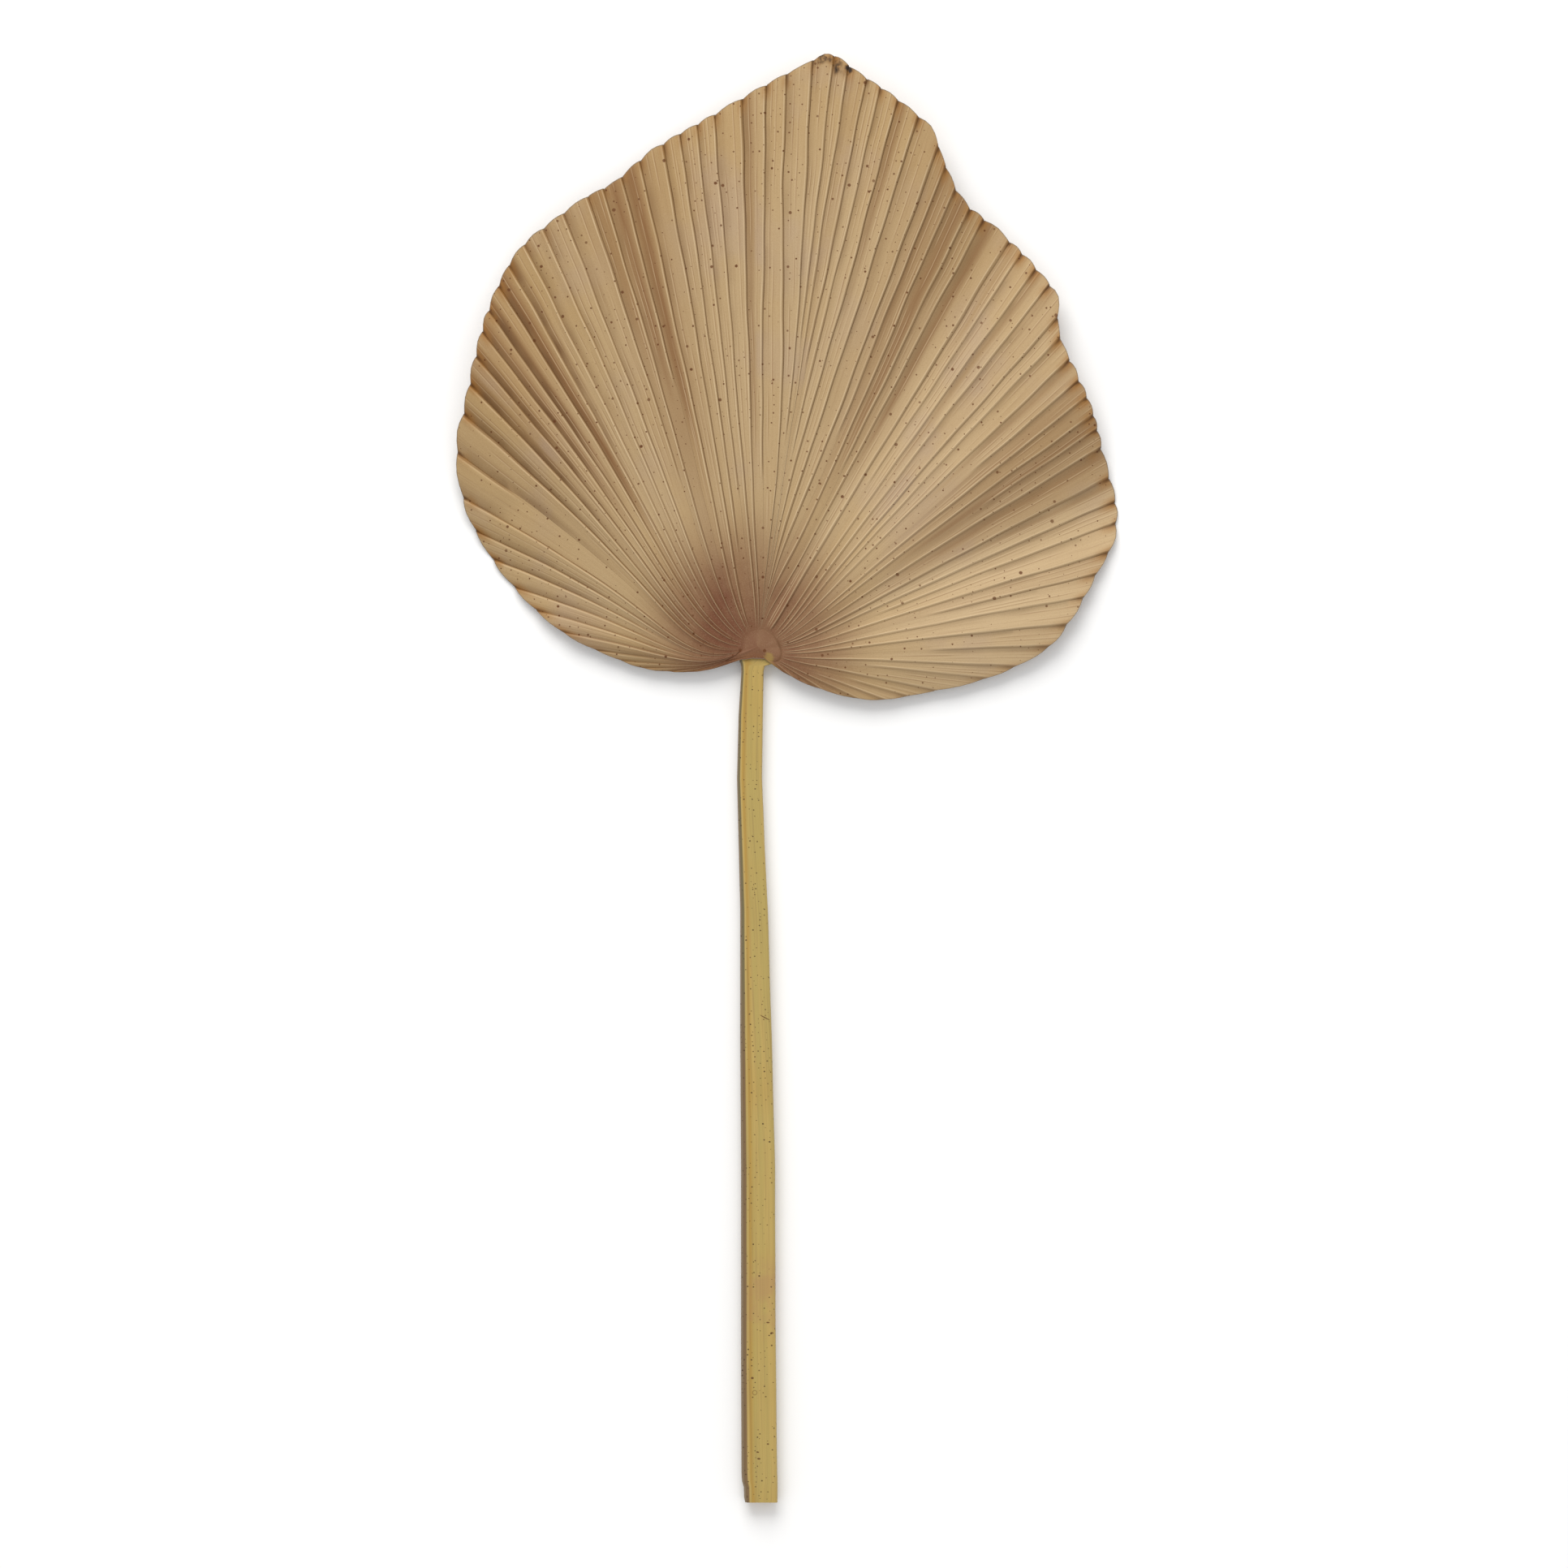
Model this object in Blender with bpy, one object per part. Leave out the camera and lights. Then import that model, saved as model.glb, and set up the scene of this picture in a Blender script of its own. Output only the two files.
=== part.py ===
"""A dried fan palm leaf on its stalk, lying face up.

Metres, +Z up. The tip points to +Y and the cut end of the stalk to -Y. The origin is on the
surface that the leaf lies on, under the middle of its outline.
"""

import bmesh
import bpy
import numpy as np
from mathutils import Vector
from mathutils.bvhtree import BVHTree

MM = 0.001

# The hub, where all the folds meet, in the leaf's frame
HUB_X = -20.8 * MM
HUB_Y = 91.5 * MM

# The blade's sheet. Its thickness is measured straight up.
BLADE_THICKNESS = 1.0 * MM
HUB_HEIGHT = 11.4 * MM
ARCH = 5.0 * MM
DROOP_POWER = 1.5
FULL_ARCH_AT = 200 * MM

# Folds, as angles at the rim in degrees, clockwise from the tip's direction, counted on the leaf
FOLDS = (
    -118, -115, -110, -105, -100, -95.5, -91, -85.5, -80.5, -76, -71.5, -67.5, -63, -57, -51.5,
    -47.5, -44, -41, -38.5, -35.5, -33, -30, -27, -24, -20.5, -18.5, -16, -13.5, -10.5, -8.5,
    -6.5, -4.5, -1.5, 1, 3, 5.5, 7.5, 9, 11, 12.5, 14.5, 17, 20, 21.5, 23.5, 26, 28, 32, 34,
    36.5, 39, 42.5, 44.5, 47.5, 50.5, 53, 55.5, 57.5, 60, 64.5, 68, 71, 75, 78, 81.5, 86, 90,
    94.5, 98, 104, 108.5, 113, 118, 125, 134,
)

# How a fold bends on its way in: rim angle, angle at the hub, distance of the bend in mm, sharpness
BENDS = (
    (-118, -116.5, 56, 2.9),
    (-80, -110.5, 56, 2.9),
    (-67, -106.5, 56, 2.9),
    (-47, -98, 52, 2.2),
    (-27, -62, 53, 1.65),
    (-18.5, -45, 50, 1.7),
    (-10.5, -22, 45, 1.8),
    (-4.5, 0, 44, 2.4),
    (-1.5, 4.5, 44, 3.0),
    (1, 6, 70, 2.5),
    (3, 7, 219, 4.4),
    (5.5, 8, 280, 5),
    (9, 9, 260, 5),
    (14.5, 10.2, 140, 3.5),
    (17, 11, 98, 2.6),
    (20, 12, 76, 3.0),
    (23.5, 13.2, 49, 4.0),
    (28, 16, 31, 3.2),
    (32, 45, 25, 1.8),
    (39, 70, 28, 1.75),
    (64.5, 95, 34, 1.6),
    (86, 112, 33, 1.7),
    (104, 120, 33, 1.7),
    (134, 132, 33, 1.7),
)

# The rim: angle in degrees and distance from the hub in mm
OUTLINE = (
    (-180, 8.2),
    (-150, 9.5),
    (-134, 13),
    (-125, 17),
    (-118, 30),
    (-115, 38),
    (-105, 65),
    (-100, 82),
    (-95, 97),
    (-85, 138),
    (-78, 166),
    (-72, 192),
    (-65, 222),
    (-55, 253),
    (-50, 263),
    (-44, 280),
    (-37, 303),
    (-31, 320),
    (-25, 327),
    (-21, 332),
    (-17, 336),
    (-13, 348),
    (-5, 368),
    (-1, 381),
    (4, 400),
    (7, 411.5),
    (10, 402),
    (16, 385),
    (19, 375),
    (20.5, 363),
    (24, 342.5),
    (30, 333),
    (37, 324),
    (41, 317),
    (43, 305),
    (49, 291),
    (54, 284.5),
    (61, 274),
    (70, 265),
    (73, 259),
    (78, 240),
    (85, 218),
    (90, 202),
    (95, 176),
    (105, 122),
    (115, 87),
    (125, 49),
    (134, 26),
    (142, 14),
    (160, 9),
    (180, 8.2),
)

# The broad waves: angle in degrees and height of the sheet's top at the rim in mm
WAVES = (
    (-180, 11.4),
    (-125, 11.4),
    (-115, 11),
    (-105, 9),
    (-95, 8.5),
    (-85, 9),
    (-72, 0.9),
    (-65, 5),
    (-55, 14),
    (-44, 23),
    (-33, 13),
    (-25, 20),
    (-21, 21),
    (-13, 13),
    (-5, 16),
    (1, 22),
    (7, 25),
    (19, 26.5),
    (25, 20),
    (30, 13),
    (37, 17),
    (45, 20),
    (54, 19),
    (61, 8),
    (70, 1.0),
    (75, 6),
    (85, 12),
    (95, 10),
    (105, 8.5),
    (115, 10),
    (125, 11),
    (142, 11.4),
    (180, 11.4),
)

# A pleat: its height for its width, and where its crest lies from one fold to the next
PLEAT_RATIO = 0.17
PLEAT_LIMIT = 3.0 * MM
CREST_AT = 0.78
PLEAT_COLUMNS = (0.0, 0.4, CREST_AT)
SCALLOP_RATIO = 0.16
SCALLOP_LIMIT = 2.6 * MM
SCALLOP_MEAN = 0.6

# The boss over the hub: angle in degrees and radius in mm of its edge, and its rise
BOSS = (
    (-180, 7),
    (-150, 8),
    (-125, 14),
    (-114, 23),
    (-97, 19),
    (-71, 13),
    (-55, 11),
    (0, 12),
    (60, 15),
    (94, 17.5),
    (112, 17.5),
    (134, 15),
    (150, 8),
    (180, 7),
)
BOSS_RISE = 2.4 * MM
BOSS_ROWS = (0.3, 0.65, 1.0)
PLEAT_START = 5.0 * MM

# Rows of the sheet from the boss's edge to the rim, and columns under the boss
BLADE_ROWS = (0.05, 0.12, 0.22, 0.35, 0.5, 0.67, 0.84, 1.0)
BASE_COLUMNS = 12

# The stalk from its cut end to its head: distance past the hub, left side, right side,
# thickness and width of the sloping left flank, all in mm, with sides measured from the hub
STALK = (
    (-591.5, -8.4, 14.0, 12.0, 3.4),
    (-580.5, -9.2, 14.0, 12.0, 4.3),
    (-496.0, -11.2, 12.9, 12.0, 4.3),
    (-361.0, -11.2, 12.3, 11.6, 4.2),
    (-271.0, -11.8, 10.1, 11.2, 3.8),
    (-181.0, -11.8, 7.3, 10.6, 3.2),
    (-136.0, -12.9, 5.0, 10.2, 2.8),
    (-91.0, -14.0, 3.4, 10.0, 2.3),
    (-47.0, -12.9, 3.9, 10.0, 2.0),
    (-17.0, -11.0, 4.4, 10.0, 1.8),
    (-13.2, -11.2, 5.2, 10.0, 1.9),
    (-11.6, -11.6, 11.0, 10.0, 2.0),
    (-6.0, -13.8, 13.5, 10.0, 2.5),
    (6.0, -12.5, 12.5, 10.0, 2.5),
)

# The rib that carries the blade, from the stalk's head to its point
RIB_DIRECTION = 9.0
RIB = (
    (22.0, 9.0, 8.8),
    (45.0, 7.5, 7.6),
    (80.0, 6.0, 6.2),
    (120.0, 4.6, 4.8),
    (165.0, 3.2, 3.4),
    (205.0, 2.0, 2.2),
)
RIB_FLANK = 0.12
SEAT_GAP = 0.35 * MM
SEAT_PROBES = 7

# Cross-section of stalk and rib: part of the width, part of the thickness, part of the flank
SECTION = (
    (0.30, 0.0, 0.0),
    (0.70, 0.0, 0.0),
    (0.93, 0.20, 0.0),
    (1.0, 0.52, 0.0),
    (0.99, 0.86, 0.0),
    (0.94, 0.985, 0.0),
    (0.72, 0.965, 0.0),
    (0.52, 0.955, 0.0),
    (0.30, 0.965, 0.0),
    (0.02, 1.0, 1.0),
    (0.0, 0.92, 0.82),
    (0.0, 0.50, 0.0),
    (0.08, 0.20, 0.0),
)

MERGE_DISTANCE = 0.000001
SMOOTH_ANGLE = 40.0

# Colours of the dry leaf
TAN = (0.54, 0.39, 0.22, 1.0)
KHAKI = (0.48, 0.35, 0.12, 1.0)


def clear_scene():
    """Remove whatever the scene holds."""
    for thing in list(bpy.data.objects):
        bpy.data.objects.remove(thing, do_unlink=True)


def make_collection(name):
    """Return a new collection linked to the scene."""
    group = bpy.data.collections.new(name)
    bpy.context.scene.collection.children.link(group)
    return group


def make_material(name, colour, roughness):
    """Return a Principled material with one colour."""
    material = bpy.data.materials.new(name)
    material.use_nodes = True
    shader = material.node_tree.nodes["Principled BSDF"]
    shader.inputs["Base Color"].default_value = colour
    shader.inputs["Roughness"].default_value = roughness
    shader.inputs["Metallic"].default_value = 0.0
    return material


def add_object(mesh_data, name, material, group):
    """Turn a bmesh into a named object with faces that point out."""
    bmesh.ops.recalc_face_normals(mesh_data, faces=mesh_data.faces)
    mesh = bpy.data.meshes.new(name)
    mesh_data.to_mesh(mesh)
    mesh_data.free()
    mesh.materials.append(material)
    mesh.shade_smooth()
    mesh.set_sharp_from_angle(angle=np.radians(SMOOTH_ANGLE))
    thing = bpy.data.objects.new(name, mesh)
    group.objects.link(thing)
    return thing


def smooth_line(table, column, at):
    """Read a column of a table at any first value, on a smooth cubic through its points."""
    points = np.array(table, dtype=float)
    x = points[:, 0]
    y = points[:, column]
    slopes = np.gradient(y, x)
    k = np.clip(np.searchsorted(x, at, side="right") - 1, 0, len(x) - 2)
    width = x[k + 1] - x[k]
    s = (at - x[k]) / width
    return (
        y[k] * (2 * s**3 - 3 * s**2 + 1)
        + slopes[k] * width * (s**3 - 2 * s**2 + s)
        + y[k + 1] * (3 * s**2 - 2 * s**3)
        + slopes[k + 1] * width * (s**3 - s**2)
    )


def straight_line(table, column, at):
    """Read a column of a table at any first value, on straight runs between its points."""
    points = np.array(table, dtype=float)
    return np.interp(at, points[:, 0], points[:, column])


def smooth_step(t):
    """Rise from 0 to 1 with level ends."""
    t = np.clip(t, 0.0, 1.0)
    return t * t * (3 - 2 * t)


def fold_angle(rim_angle, radius):
    """Angle in degrees at which a line that ends at rim_angle crosses a circle about the hub."""
    at_hub = straight_line(BENDS, 1, rim_angle)
    reach = straight_line(BENDS, 2, rim_angle) * MM
    power = straight_line(BENDS, 3, rim_angle)
    edge = smooth_line(OUTLINE, 1, rim_angle) * MM
    pull = 1 / (1 + (radius / reach) ** power)
    pull_at_rim = 1 / (1 + (edge / reach) ** power)
    share = np.clip((pull - pull_at_rim) / (1 - pull_at_rim), 0.0, 1.0)
    inside = (rim_angle >= FOLDS[0]) & (rim_angle <= FOLDS[-1])
    return np.where(inside, rim_angle + (at_hub - rim_angle) * share, rim_angle)


def pleat_shape(phase):
    """Height of a pleat, 0 to 1: a long round rise to its crest and a short drop to the next fold."""
    rise = np.sin(np.pi / 2 * phase / CREST_AT)
    drop = np.cos(np.pi / 2 * (phase - CREST_AT) / (1 - CREST_AT))
    return np.where(phase < CREST_AT, rise, np.clip(drop, 0.0, 1.0))


def blade_columns():
    """Return each column's rim angle, phase in its pleat, and the folds on its two sides."""
    base_left = np.linspace(-180, FOLDS[0], BASE_COLUMNS // 2, endpoint=False)
    base_right = np.linspace(FOLDS[-1], 180, BASE_COLUMNS // 2 + 1)
    angles = list(base_left)
    phases = [0.0] * len(base_left)
    sides = [(FOLDS[0], FOLDS[0])] * len(base_left)
    for left, right in zip(FOLDS[:-1], FOLDS[1:]):
        for phase in PLEAT_COLUMNS:
            angles.append(left + phase * (right - left))
            phases.append(phase)
            sides.append((left, right))
    angles += list(base_right)
    phases += [0.0] * len(base_right)
    sides += [(FOLDS[-1], FOLDS[-1])] * len(base_right)
    return np.array(angles), np.array(phases), np.array(sides)


def rim_radius(angle, phase, sides):
    """Distance of the rim from the hub: the outline with a round lobe at the end of each pleat."""
    outline = smooth_line(OUTLINE, 1, angle) * MM
    pleat_width = np.radians(sides[:, 1] - sides[:, 0]) * outline
    lobe = np.minimum(SCALLOP_RATIO * pleat_width, SCALLOP_LIMIT)
    return outline + lobe * (np.sin(np.pi * phase) - SCALLOP_MEAN)


def sheet_height(angle, radius, rim):
    """Height of the sheet without its pleats: an arch from hub to rim over the broad waves."""
    out = np.clip(radius / rim, 0.0, 1.0)
    wave = smooth_line(WAVES, 1, angle) * MM - HUB_HEIGHT
    arch = ARCH * smooth_step(rim / FULL_ARCH_AT) * 4 * out * (1 - out)
    return HUB_HEIGHT + wave * out**DROOP_POWER + arch


def pleat_height(radius, phase, sides, boss):
    """Height of the pleats over the sheet, as deep as they are wide, from the boss's edge out."""
    left = fold_angle(sides[:, :1], radius)
    right = fold_angle(sides[:, 1:], radius)
    width = np.radians(right - left) * radius
    depth = np.minimum(PLEAT_RATIO * width, PLEAT_LIMIT)
    return depth * pleat_shape(phase)[:, None] * smooth_step((radius - boss) / PLEAT_START)


def blade_points():
    """Return the sheet's top surface as a grid of points, columns by rows.

    A column follows its fold from the hub out, and the rows run first to the boss's edge.
    """
    angle, phase, sides = blade_columns()
    rim = rim_radius(angle, phase, sides)
    boss = np.minimum(smooth_line(BOSS, 1, angle) * MM, rim)
    inner = np.outer(boss, (0.0,) + BOSS_ROWS)
    outer = boss[:, None] + np.outer(rim - boss, BLADE_ROWS)
    radius = np.hstack((inner, outer))

    boss = boss[:, None]
    height = sheet_height(angle[:, None], radius, rim[:, None])
    height += pleat_height(radius, phase, sides, boss)
    height += BOSS_RISE * smooth_step(1.0 - radius / boss)
    turn = np.radians(fold_angle(angle[:, None], radius))
    x = HUB_X + radius * np.sin(turn)
    y = HUB_Y + radius * np.cos(turn)
    return np.stack((x, y, height), axis=-1)


def build_blade(group):
    """The pleated blade and its boss, one thin sheet with the same split on both faces."""
    points = blade_points()
    columns, rows = points.shape[:2]
    sheet = bmesh.new()
    bmesh.ops.create_grid(sheet, x_segments=columns - 1, y_segments=rows - 1, size=0.5)
    for vertex in sheet.verts:
        column = round((vertex.co.x + 0.5) * (columns - 1))
        row = round((vertex.co.y + 0.5) * (rows - 1))
        vertex.co = Vector(points[column, row])
    bmesh.ops.remove_doubles(sheet, verts=sheet.verts, dist=MERGE_DISTANCE)
    bmesh.ops.triangulate(sheet, faces=sheet.faces)
    made = bmesh.ops.extrude_face_region(sheet, geom=sheet.faces, use_keep_orig=True)
    lower = [item for item in made["geom"] if isinstance(item, bmesh.types.BMVert)]
    bmesh.ops.translate(sheet, verts=lower, vec=(0, 0, -BLADE_THICKNESS))
    return add_object(sheet, "leaf_blade", make_material("dry_leaf", TAN, 0.6), group)


def section_ring(left, right, bottom, thickness, flank):
    """Return one cross-section as x and z, all in metres."""
    width = right - left
    ring = []
    for across, up, flank_share in SECTION:
        ring.append((left + across * width + flank_share * flank, bottom + up * thickness))
    return ring


def seat_height(blade_tree, left, right, y):
    """Height of the lowest point of the blade's underside over a line across it."""
    heights = []
    for x in np.linspace(left, right, SEAT_PROBES):
        hit = blade_tree.ray_cast(Vector((x, y, -1.0)), Vector((0, 0, 1)))[0]
        if hit:
            heights.append(hit.z)
    return min(heights)


def stalk_rings(blade_tree):
    """Return the cross-sections of the stalk, its head and its rib as rings of points."""
    rings = []
    for past_hub, left, right, thickness, flank in STALK:
        ring = section_ring(
            HUB_X + left * MM, HUB_X + right * MM, 0.0, thickness * MM, flank * MM
        )
        rings.append([(x, HUB_Y + past_hub * MM, z) for x, z in ring])
    for past_hub, half_width, thickness in RIB:
        y = HUB_Y + past_hub * MM
        middle = HUB_X + past_hub * MM * np.tan(np.radians(RIB_DIRECTION))
        left = middle - half_width * MM
        right = middle + half_width * MM
        top = seat_height(blade_tree, left, right, y) - SEAT_GAP
        bottom = max(top - thickness * MM, 0.0)
        ring = section_ring(left, right, bottom, top - bottom, RIB_FLANK * half_width * MM)
        rings.append([(x, y, z) for x, z in ring])
    return rings


def build_petiole(blade, group):
    """The stalk, lofted along its cross-sections and closed by flat ends."""
    rings = stalk_rings(BVHTree.FromObject(blade, bpy.context.evaluated_depsgraph_get()))
    stalk = bmesh.new()
    loops = [[stalk.verts.new(point) for point in ring] for ring in rings]
    sides = len(SECTION)
    for near, far in zip(loops[:-1], loops[1:]):
        for k in range(sides):
            after = (k + 1) % sides
            stalk.faces.new((near[k], near[after], far[after], far[k]))
    stalk.faces.new(loops[0])
    stalk.faces.new(loops[-1])
    return add_object(stalk, "petiole", make_material("dry_stalk", KHAKI, 0.55), group)


def main():
    """Build the leaf."""
    clear_scene()
    group = make_collection("fan_palm_leaf")
    blade = build_blade(group)
    build_petiole(blade, group)


main()
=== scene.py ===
"""The looks of a dried fan palm leaf that lies face up on a pale floor.

A fine pleated sheet stands for the solid blade, and a fine lofted stalk for the solid stalk.
Both follow the formulas of the solids. Metres, +Z up, the tip to +Y.
"""

import logging
from dataclasses import dataclass, field
from enum import Enum

import bpy
import numpy as np
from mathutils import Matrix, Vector
from mathutils.bvhtree import BVHTree


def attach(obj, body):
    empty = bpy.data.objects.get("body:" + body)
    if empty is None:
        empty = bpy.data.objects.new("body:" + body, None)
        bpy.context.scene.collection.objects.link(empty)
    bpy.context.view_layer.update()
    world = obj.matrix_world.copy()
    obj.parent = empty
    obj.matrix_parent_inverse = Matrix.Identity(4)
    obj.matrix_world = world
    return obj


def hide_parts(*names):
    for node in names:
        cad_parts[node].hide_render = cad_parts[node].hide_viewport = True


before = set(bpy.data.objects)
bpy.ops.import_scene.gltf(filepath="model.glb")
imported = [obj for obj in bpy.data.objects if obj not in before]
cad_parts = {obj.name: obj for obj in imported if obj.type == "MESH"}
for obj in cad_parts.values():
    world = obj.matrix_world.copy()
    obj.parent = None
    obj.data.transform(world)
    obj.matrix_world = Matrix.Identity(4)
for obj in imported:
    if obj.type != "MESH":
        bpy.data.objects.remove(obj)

MM = 0.001
HUB = (-20.8 * MM, 91.5 * MM)
SEED = 11
MERGE_DISTANCE = 0.000002
SMOOTH_ANGLE = 50.0
PATTERN = "pattern"
NUMBER = "NodeSocketFloat"
VECTOR = "NodeSocketVector"

Colour = tuple[int, int, int]
Table = tuple[tuple[float, ...], ...]
Socket = bpy.types.NodeSocket

# Folds, as angles at the rim in degrees, clockwise from the tip's direction, counted on the leaf
FOLDS = (
    -118, -115, -110, -105, -100, -95.5, -91, -85.5, -80.5, -76, -71.5, -67.5, -63, -57, -51.5,
    -47.5, -44, -41, -38.5, -35.5, -33, -30, -27, -24, -20.5, -18.5, -16, -13.5, -10.5, -8.5,
    -6.5, -4.5, -1.5, 1, 3, 5.5, 7.5, 9, 11, 12.5, 14.5, 17, 20, 21.5, 23.5, 26, 28, 32, 34,
    36.5, 39, 42.5, 44.5, 47.5, 50.5, 53, 55.5, 57.5, 60, 64.5, 68, 71, 75, 78, 81.5, 86, 90,
    94.5, 98, 104, 108.5, 113, 118, 125, 134,
)

# How a fold bends on its way in: rim angle, angle at the hub, distance of the bend in mm, sharpness
BENDS: Table = (
    (-118, -116.5, 56, 2.9), (-80, -110.5, 56, 2.9), (-67, -106.5, 56, 2.9), (-47, -98, 52, 2.2),
    (-27, -62, 53, 1.65), (-18.5, -45, 50, 1.7), (-10.5, -22, 45, 1.8), (-4.5, 0, 44, 2.4),
    (-1.5, 4.5, 44, 3.0), (1, 6, 70, 2.5), (3, 7, 219, 4.4), (5.5, 8, 280, 5), (9, 9, 260, 5),
    (14.5, 10.2, 140, 3.5), (17, 11, 98, 2.6), (20, 12, 76, 3.0), (23.5, 13.2, 49, 4.0),
    (28, 16, 31, 3.2), (32, 45, 25, 1.8), (39, 70, 28, 1.75), (64.5, 95, 34, 1.6),
    (86, 112, 33, 1.7), (104, 120, 33, 1.7), (134, 132, 33, 1.7),
)

# The rim: angle in degrees and distance from the hub in mm
OUTLINE: Table = (
    (-180, 8.2), (-150, 9.5), (-134, 13), (-125, 17), (-118, 30), (-115, 38), (-105, 65),
    (-100, 82), (-95, 97), (-85, 138), (-78, 166), (-72, 192), (-65, 222), (-55, 253), (-50, 263),
    (-44, 280), (-37, 303), (-31, 320), (-25, 327), (-21, 332), (-17, 336), (-13, 348), (-5, 368),
    (-1, 381), (4, 400), (7, 411.5), (10, 402), (16, 385), (19, 375), (20.5, 363), (24, 342.5),
    (30, 333), (37, 324), (41, 317), (43, 305), (49, 291), (54, 284.5), (61, 274), (70, 265),
    (73, 259), (78, 240), (85, 218), (90, 202), (95, 176), (105, 122), (115, 87), (125, 49),
    (134, 26), (142, 14), (160, 9), (180, 8.2),
)

# The broad waves: angle in degrees and height of the sheet's top at the rim in mm
WAVES: Table = (
    (-180, 11.4), (-125, 11.4), (-115, 11), (-105, 9), (-95, 8.5), (-85, 9), (-72, 0.9), (-65, 5),
    (-55, 14), (-44, 23), (-33, 13), (-25, 20), (-21, 21), (-13, 13), (-5, 16), (1, 22), (7, 25),
    (19, 26.5), (25, 20), (30, 13), (37, 17), (45, 20), (54, 19), (61, 8), (70, 1.0), (75, 6),
    (85, 12), (95, 10), (105, 8.5), (115, 10), (125, 11), (142, 11.4), (180, 11.4),
)

# The boss over the hub: angle in degrees and radius in mm of its edge
BOSS: Table = (
    (-180, 7), (-150, 8), (-125, 14), (-114, 23), (-97, 19), (-71, 13), (-55, 11), (0, 12),
    (60, 15), (94, 17.5), (112, 17.5), (134, 15), (150, 8), (180, 7),
)

# How clear the groove round the boss is: angle in degrees and part of its full depth
BOSS_GROOVE: Table = (
    (-180, 0), (-135, 0.3), (-118, 1), (-75, 1), (-55, 0.3), (0, 0.05), (30, 0.3), (60, 0.8),
    (130, 0.9), (145, 0), (180, 0),
)

# Hollows in brown and painted shade: rim angle of the middle, half width in degrees, distance
# from the hub in mm where they start and where they are full, and strength
BROWNED_SHADED_HOLLOWS: Table = (
    (-51.0, 0.7, 150, 240, 0.45), (-47.0, 0.8, 120, 240, 0.55), (-43.4, 0.9, 110, 230, 0.75),
    (-40.3, 0.9, 90, 200, 0.8), (-37.8, 0.9, 110, 210, 0.85), (-34.9, 1.1, 90, 170, 1.0),
    (-32.5, 0.5, 150, 240, 0.5), (-19.5, 1.2, 120, 260, 0.62), (-17.3, 0.9, 110, 240, 0.9),
    (-15.0, 1.0, 90, 200, 1.0), (-13.2, 0.4, 90, 180, 0.7), (-1.0, 0.7, 100, 180, 0.5),
    (15.0, 0.6, 220, 330, 0.6), (21.6, 1.3, 130, 250, 0.5), (24.7, 1.1, 90, 190, 0.85),
    (28.9, 0.9, 100, 200, 0.8), (33.0, 0.4, 200, 280, 0.4), (37.2, 0.5, 120, 220, 0.4),
    (48.3, 0.7, 110, 200, 0.45), (52.0, 1.6, 110, 220, 0.5), (56.6, 1.2, 80, 160, 0.75),
    (61.2, 1.1, 80, 150, 0.6), (65.4, 0.6, 110, 200, 0.5), (-16.5, 5.0, 60, 170, 0.46),
    (24.5, 5.5, 60, 180, 0.36), (56.5, 7.0, 60, 170, 0.46), (-40.0, 7.0, 110, 230, 0.3),
)

# Where the pleats lean hard from the light and get a streak of painted shade: rim angle and
# strength
SHADE_STREAKS: Table = (
    (-118, 0.15), (-75, 0.35), (-55, 0.55), (-46, 1.0), (-33, 1.0), (-29, 0.35), (-5, 0.35),
    (30, 0.3), (60, 0.35), (134, 0.2),
)

# Folds that start further out than the rest: rim angle and distance from the hub in mm
LATE_FOLDS: Table = (
    (-110, 60), (-100, 60), (-91, 75), (-80.5, 60), (-71.5, 75), (-57, 200), (-44, 50),
    (-38.5, 70), (-30, 60), (-20.5, 130), (-16, 195), (-8.5, 70), (-6.5, 110), (1, 120),
    (5.5, 150), (7.5, 215), (11, 200), (12.5, 140), (21.5, 160), (26, 140), (34, 140), (44.5, 75),
    (50.5, 195), (55.5, 60), (57.5, 190), (71, 90), (78, 125), (90, 125), (98, 80), (108.5, 70),
    (113, 50),
)

# How the pleats differ round the leaf: rim angle, part of their full height, how round they are
# near the rim, part of their full lobe at the rim, and how dark the painted shade is in the line
# along each fold and on the drop after each crest
PLEATS: Table = (
    (-118, 0.6, 0.7, 0.5, 0.5), (-80, 0.8, 1.0, 0.8, 0.9), (-60, 1.0, 1.0, 0.9, 1.1),
    (-37, 1.0, 1.0, 0.9, 1.1), (-32, 0.6, 0.35, 0.45, 0.5), (-17, 0.6, 0.35, 0.4, 0.8),
    (-12, 0.7, 0.5, 0.7, 0.9), (5, 0.6, 0.3, 0.6, 0.8), (15, 0.6, 0.3, 0.6, 0.8),
    (24, 0.6, 0.5, 0.75, 0.42), (40, 0.42, 0.4, 0.65, 0.2), (60, 0.48, 0.5, 0.65, 0.26),
    (100, 0.44, 0.6, 0.6, 0.22), (134, 0.45, 0.7, 0.5, 0.24),
)

# How the ground colour changes round the leaf: rim angle, share of gold, share of pale tan, and
# how dark and amber the notches of the rim are
TONES: Table = (
    (-118, 0.75, 0.1, 0.1), (-92, 0.6, 0.3, 0.35), (-85, 0.55, 0.35, 0.8), (-65, 0.45, 0.4, 1.0),
    (-48, 0.9, 0.15, 1.0), (-35, 0.85, 0.1, 0.9), (-30, 0.7, 0.15, 0.4), (-24, 0.6, 0.2, 0.35),
    (-14, 0.8, 0.1, 0.5), (0, 0.55, 0.2, 0.7), (14, 0.55, 0.2, 0.8), (28, 0.5, 0.4, 1.0),
    (45, 0.45, 0.7, 1.0), (58, 0.5, 0.65, 1.0), (68, 0.3, 0.95, 0.9), (85, 0.25, 0.95, 0.5),
    (104, 0.25, 0.95, 0.2), (134, 0.5, 0.6, 0.1),
)

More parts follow.
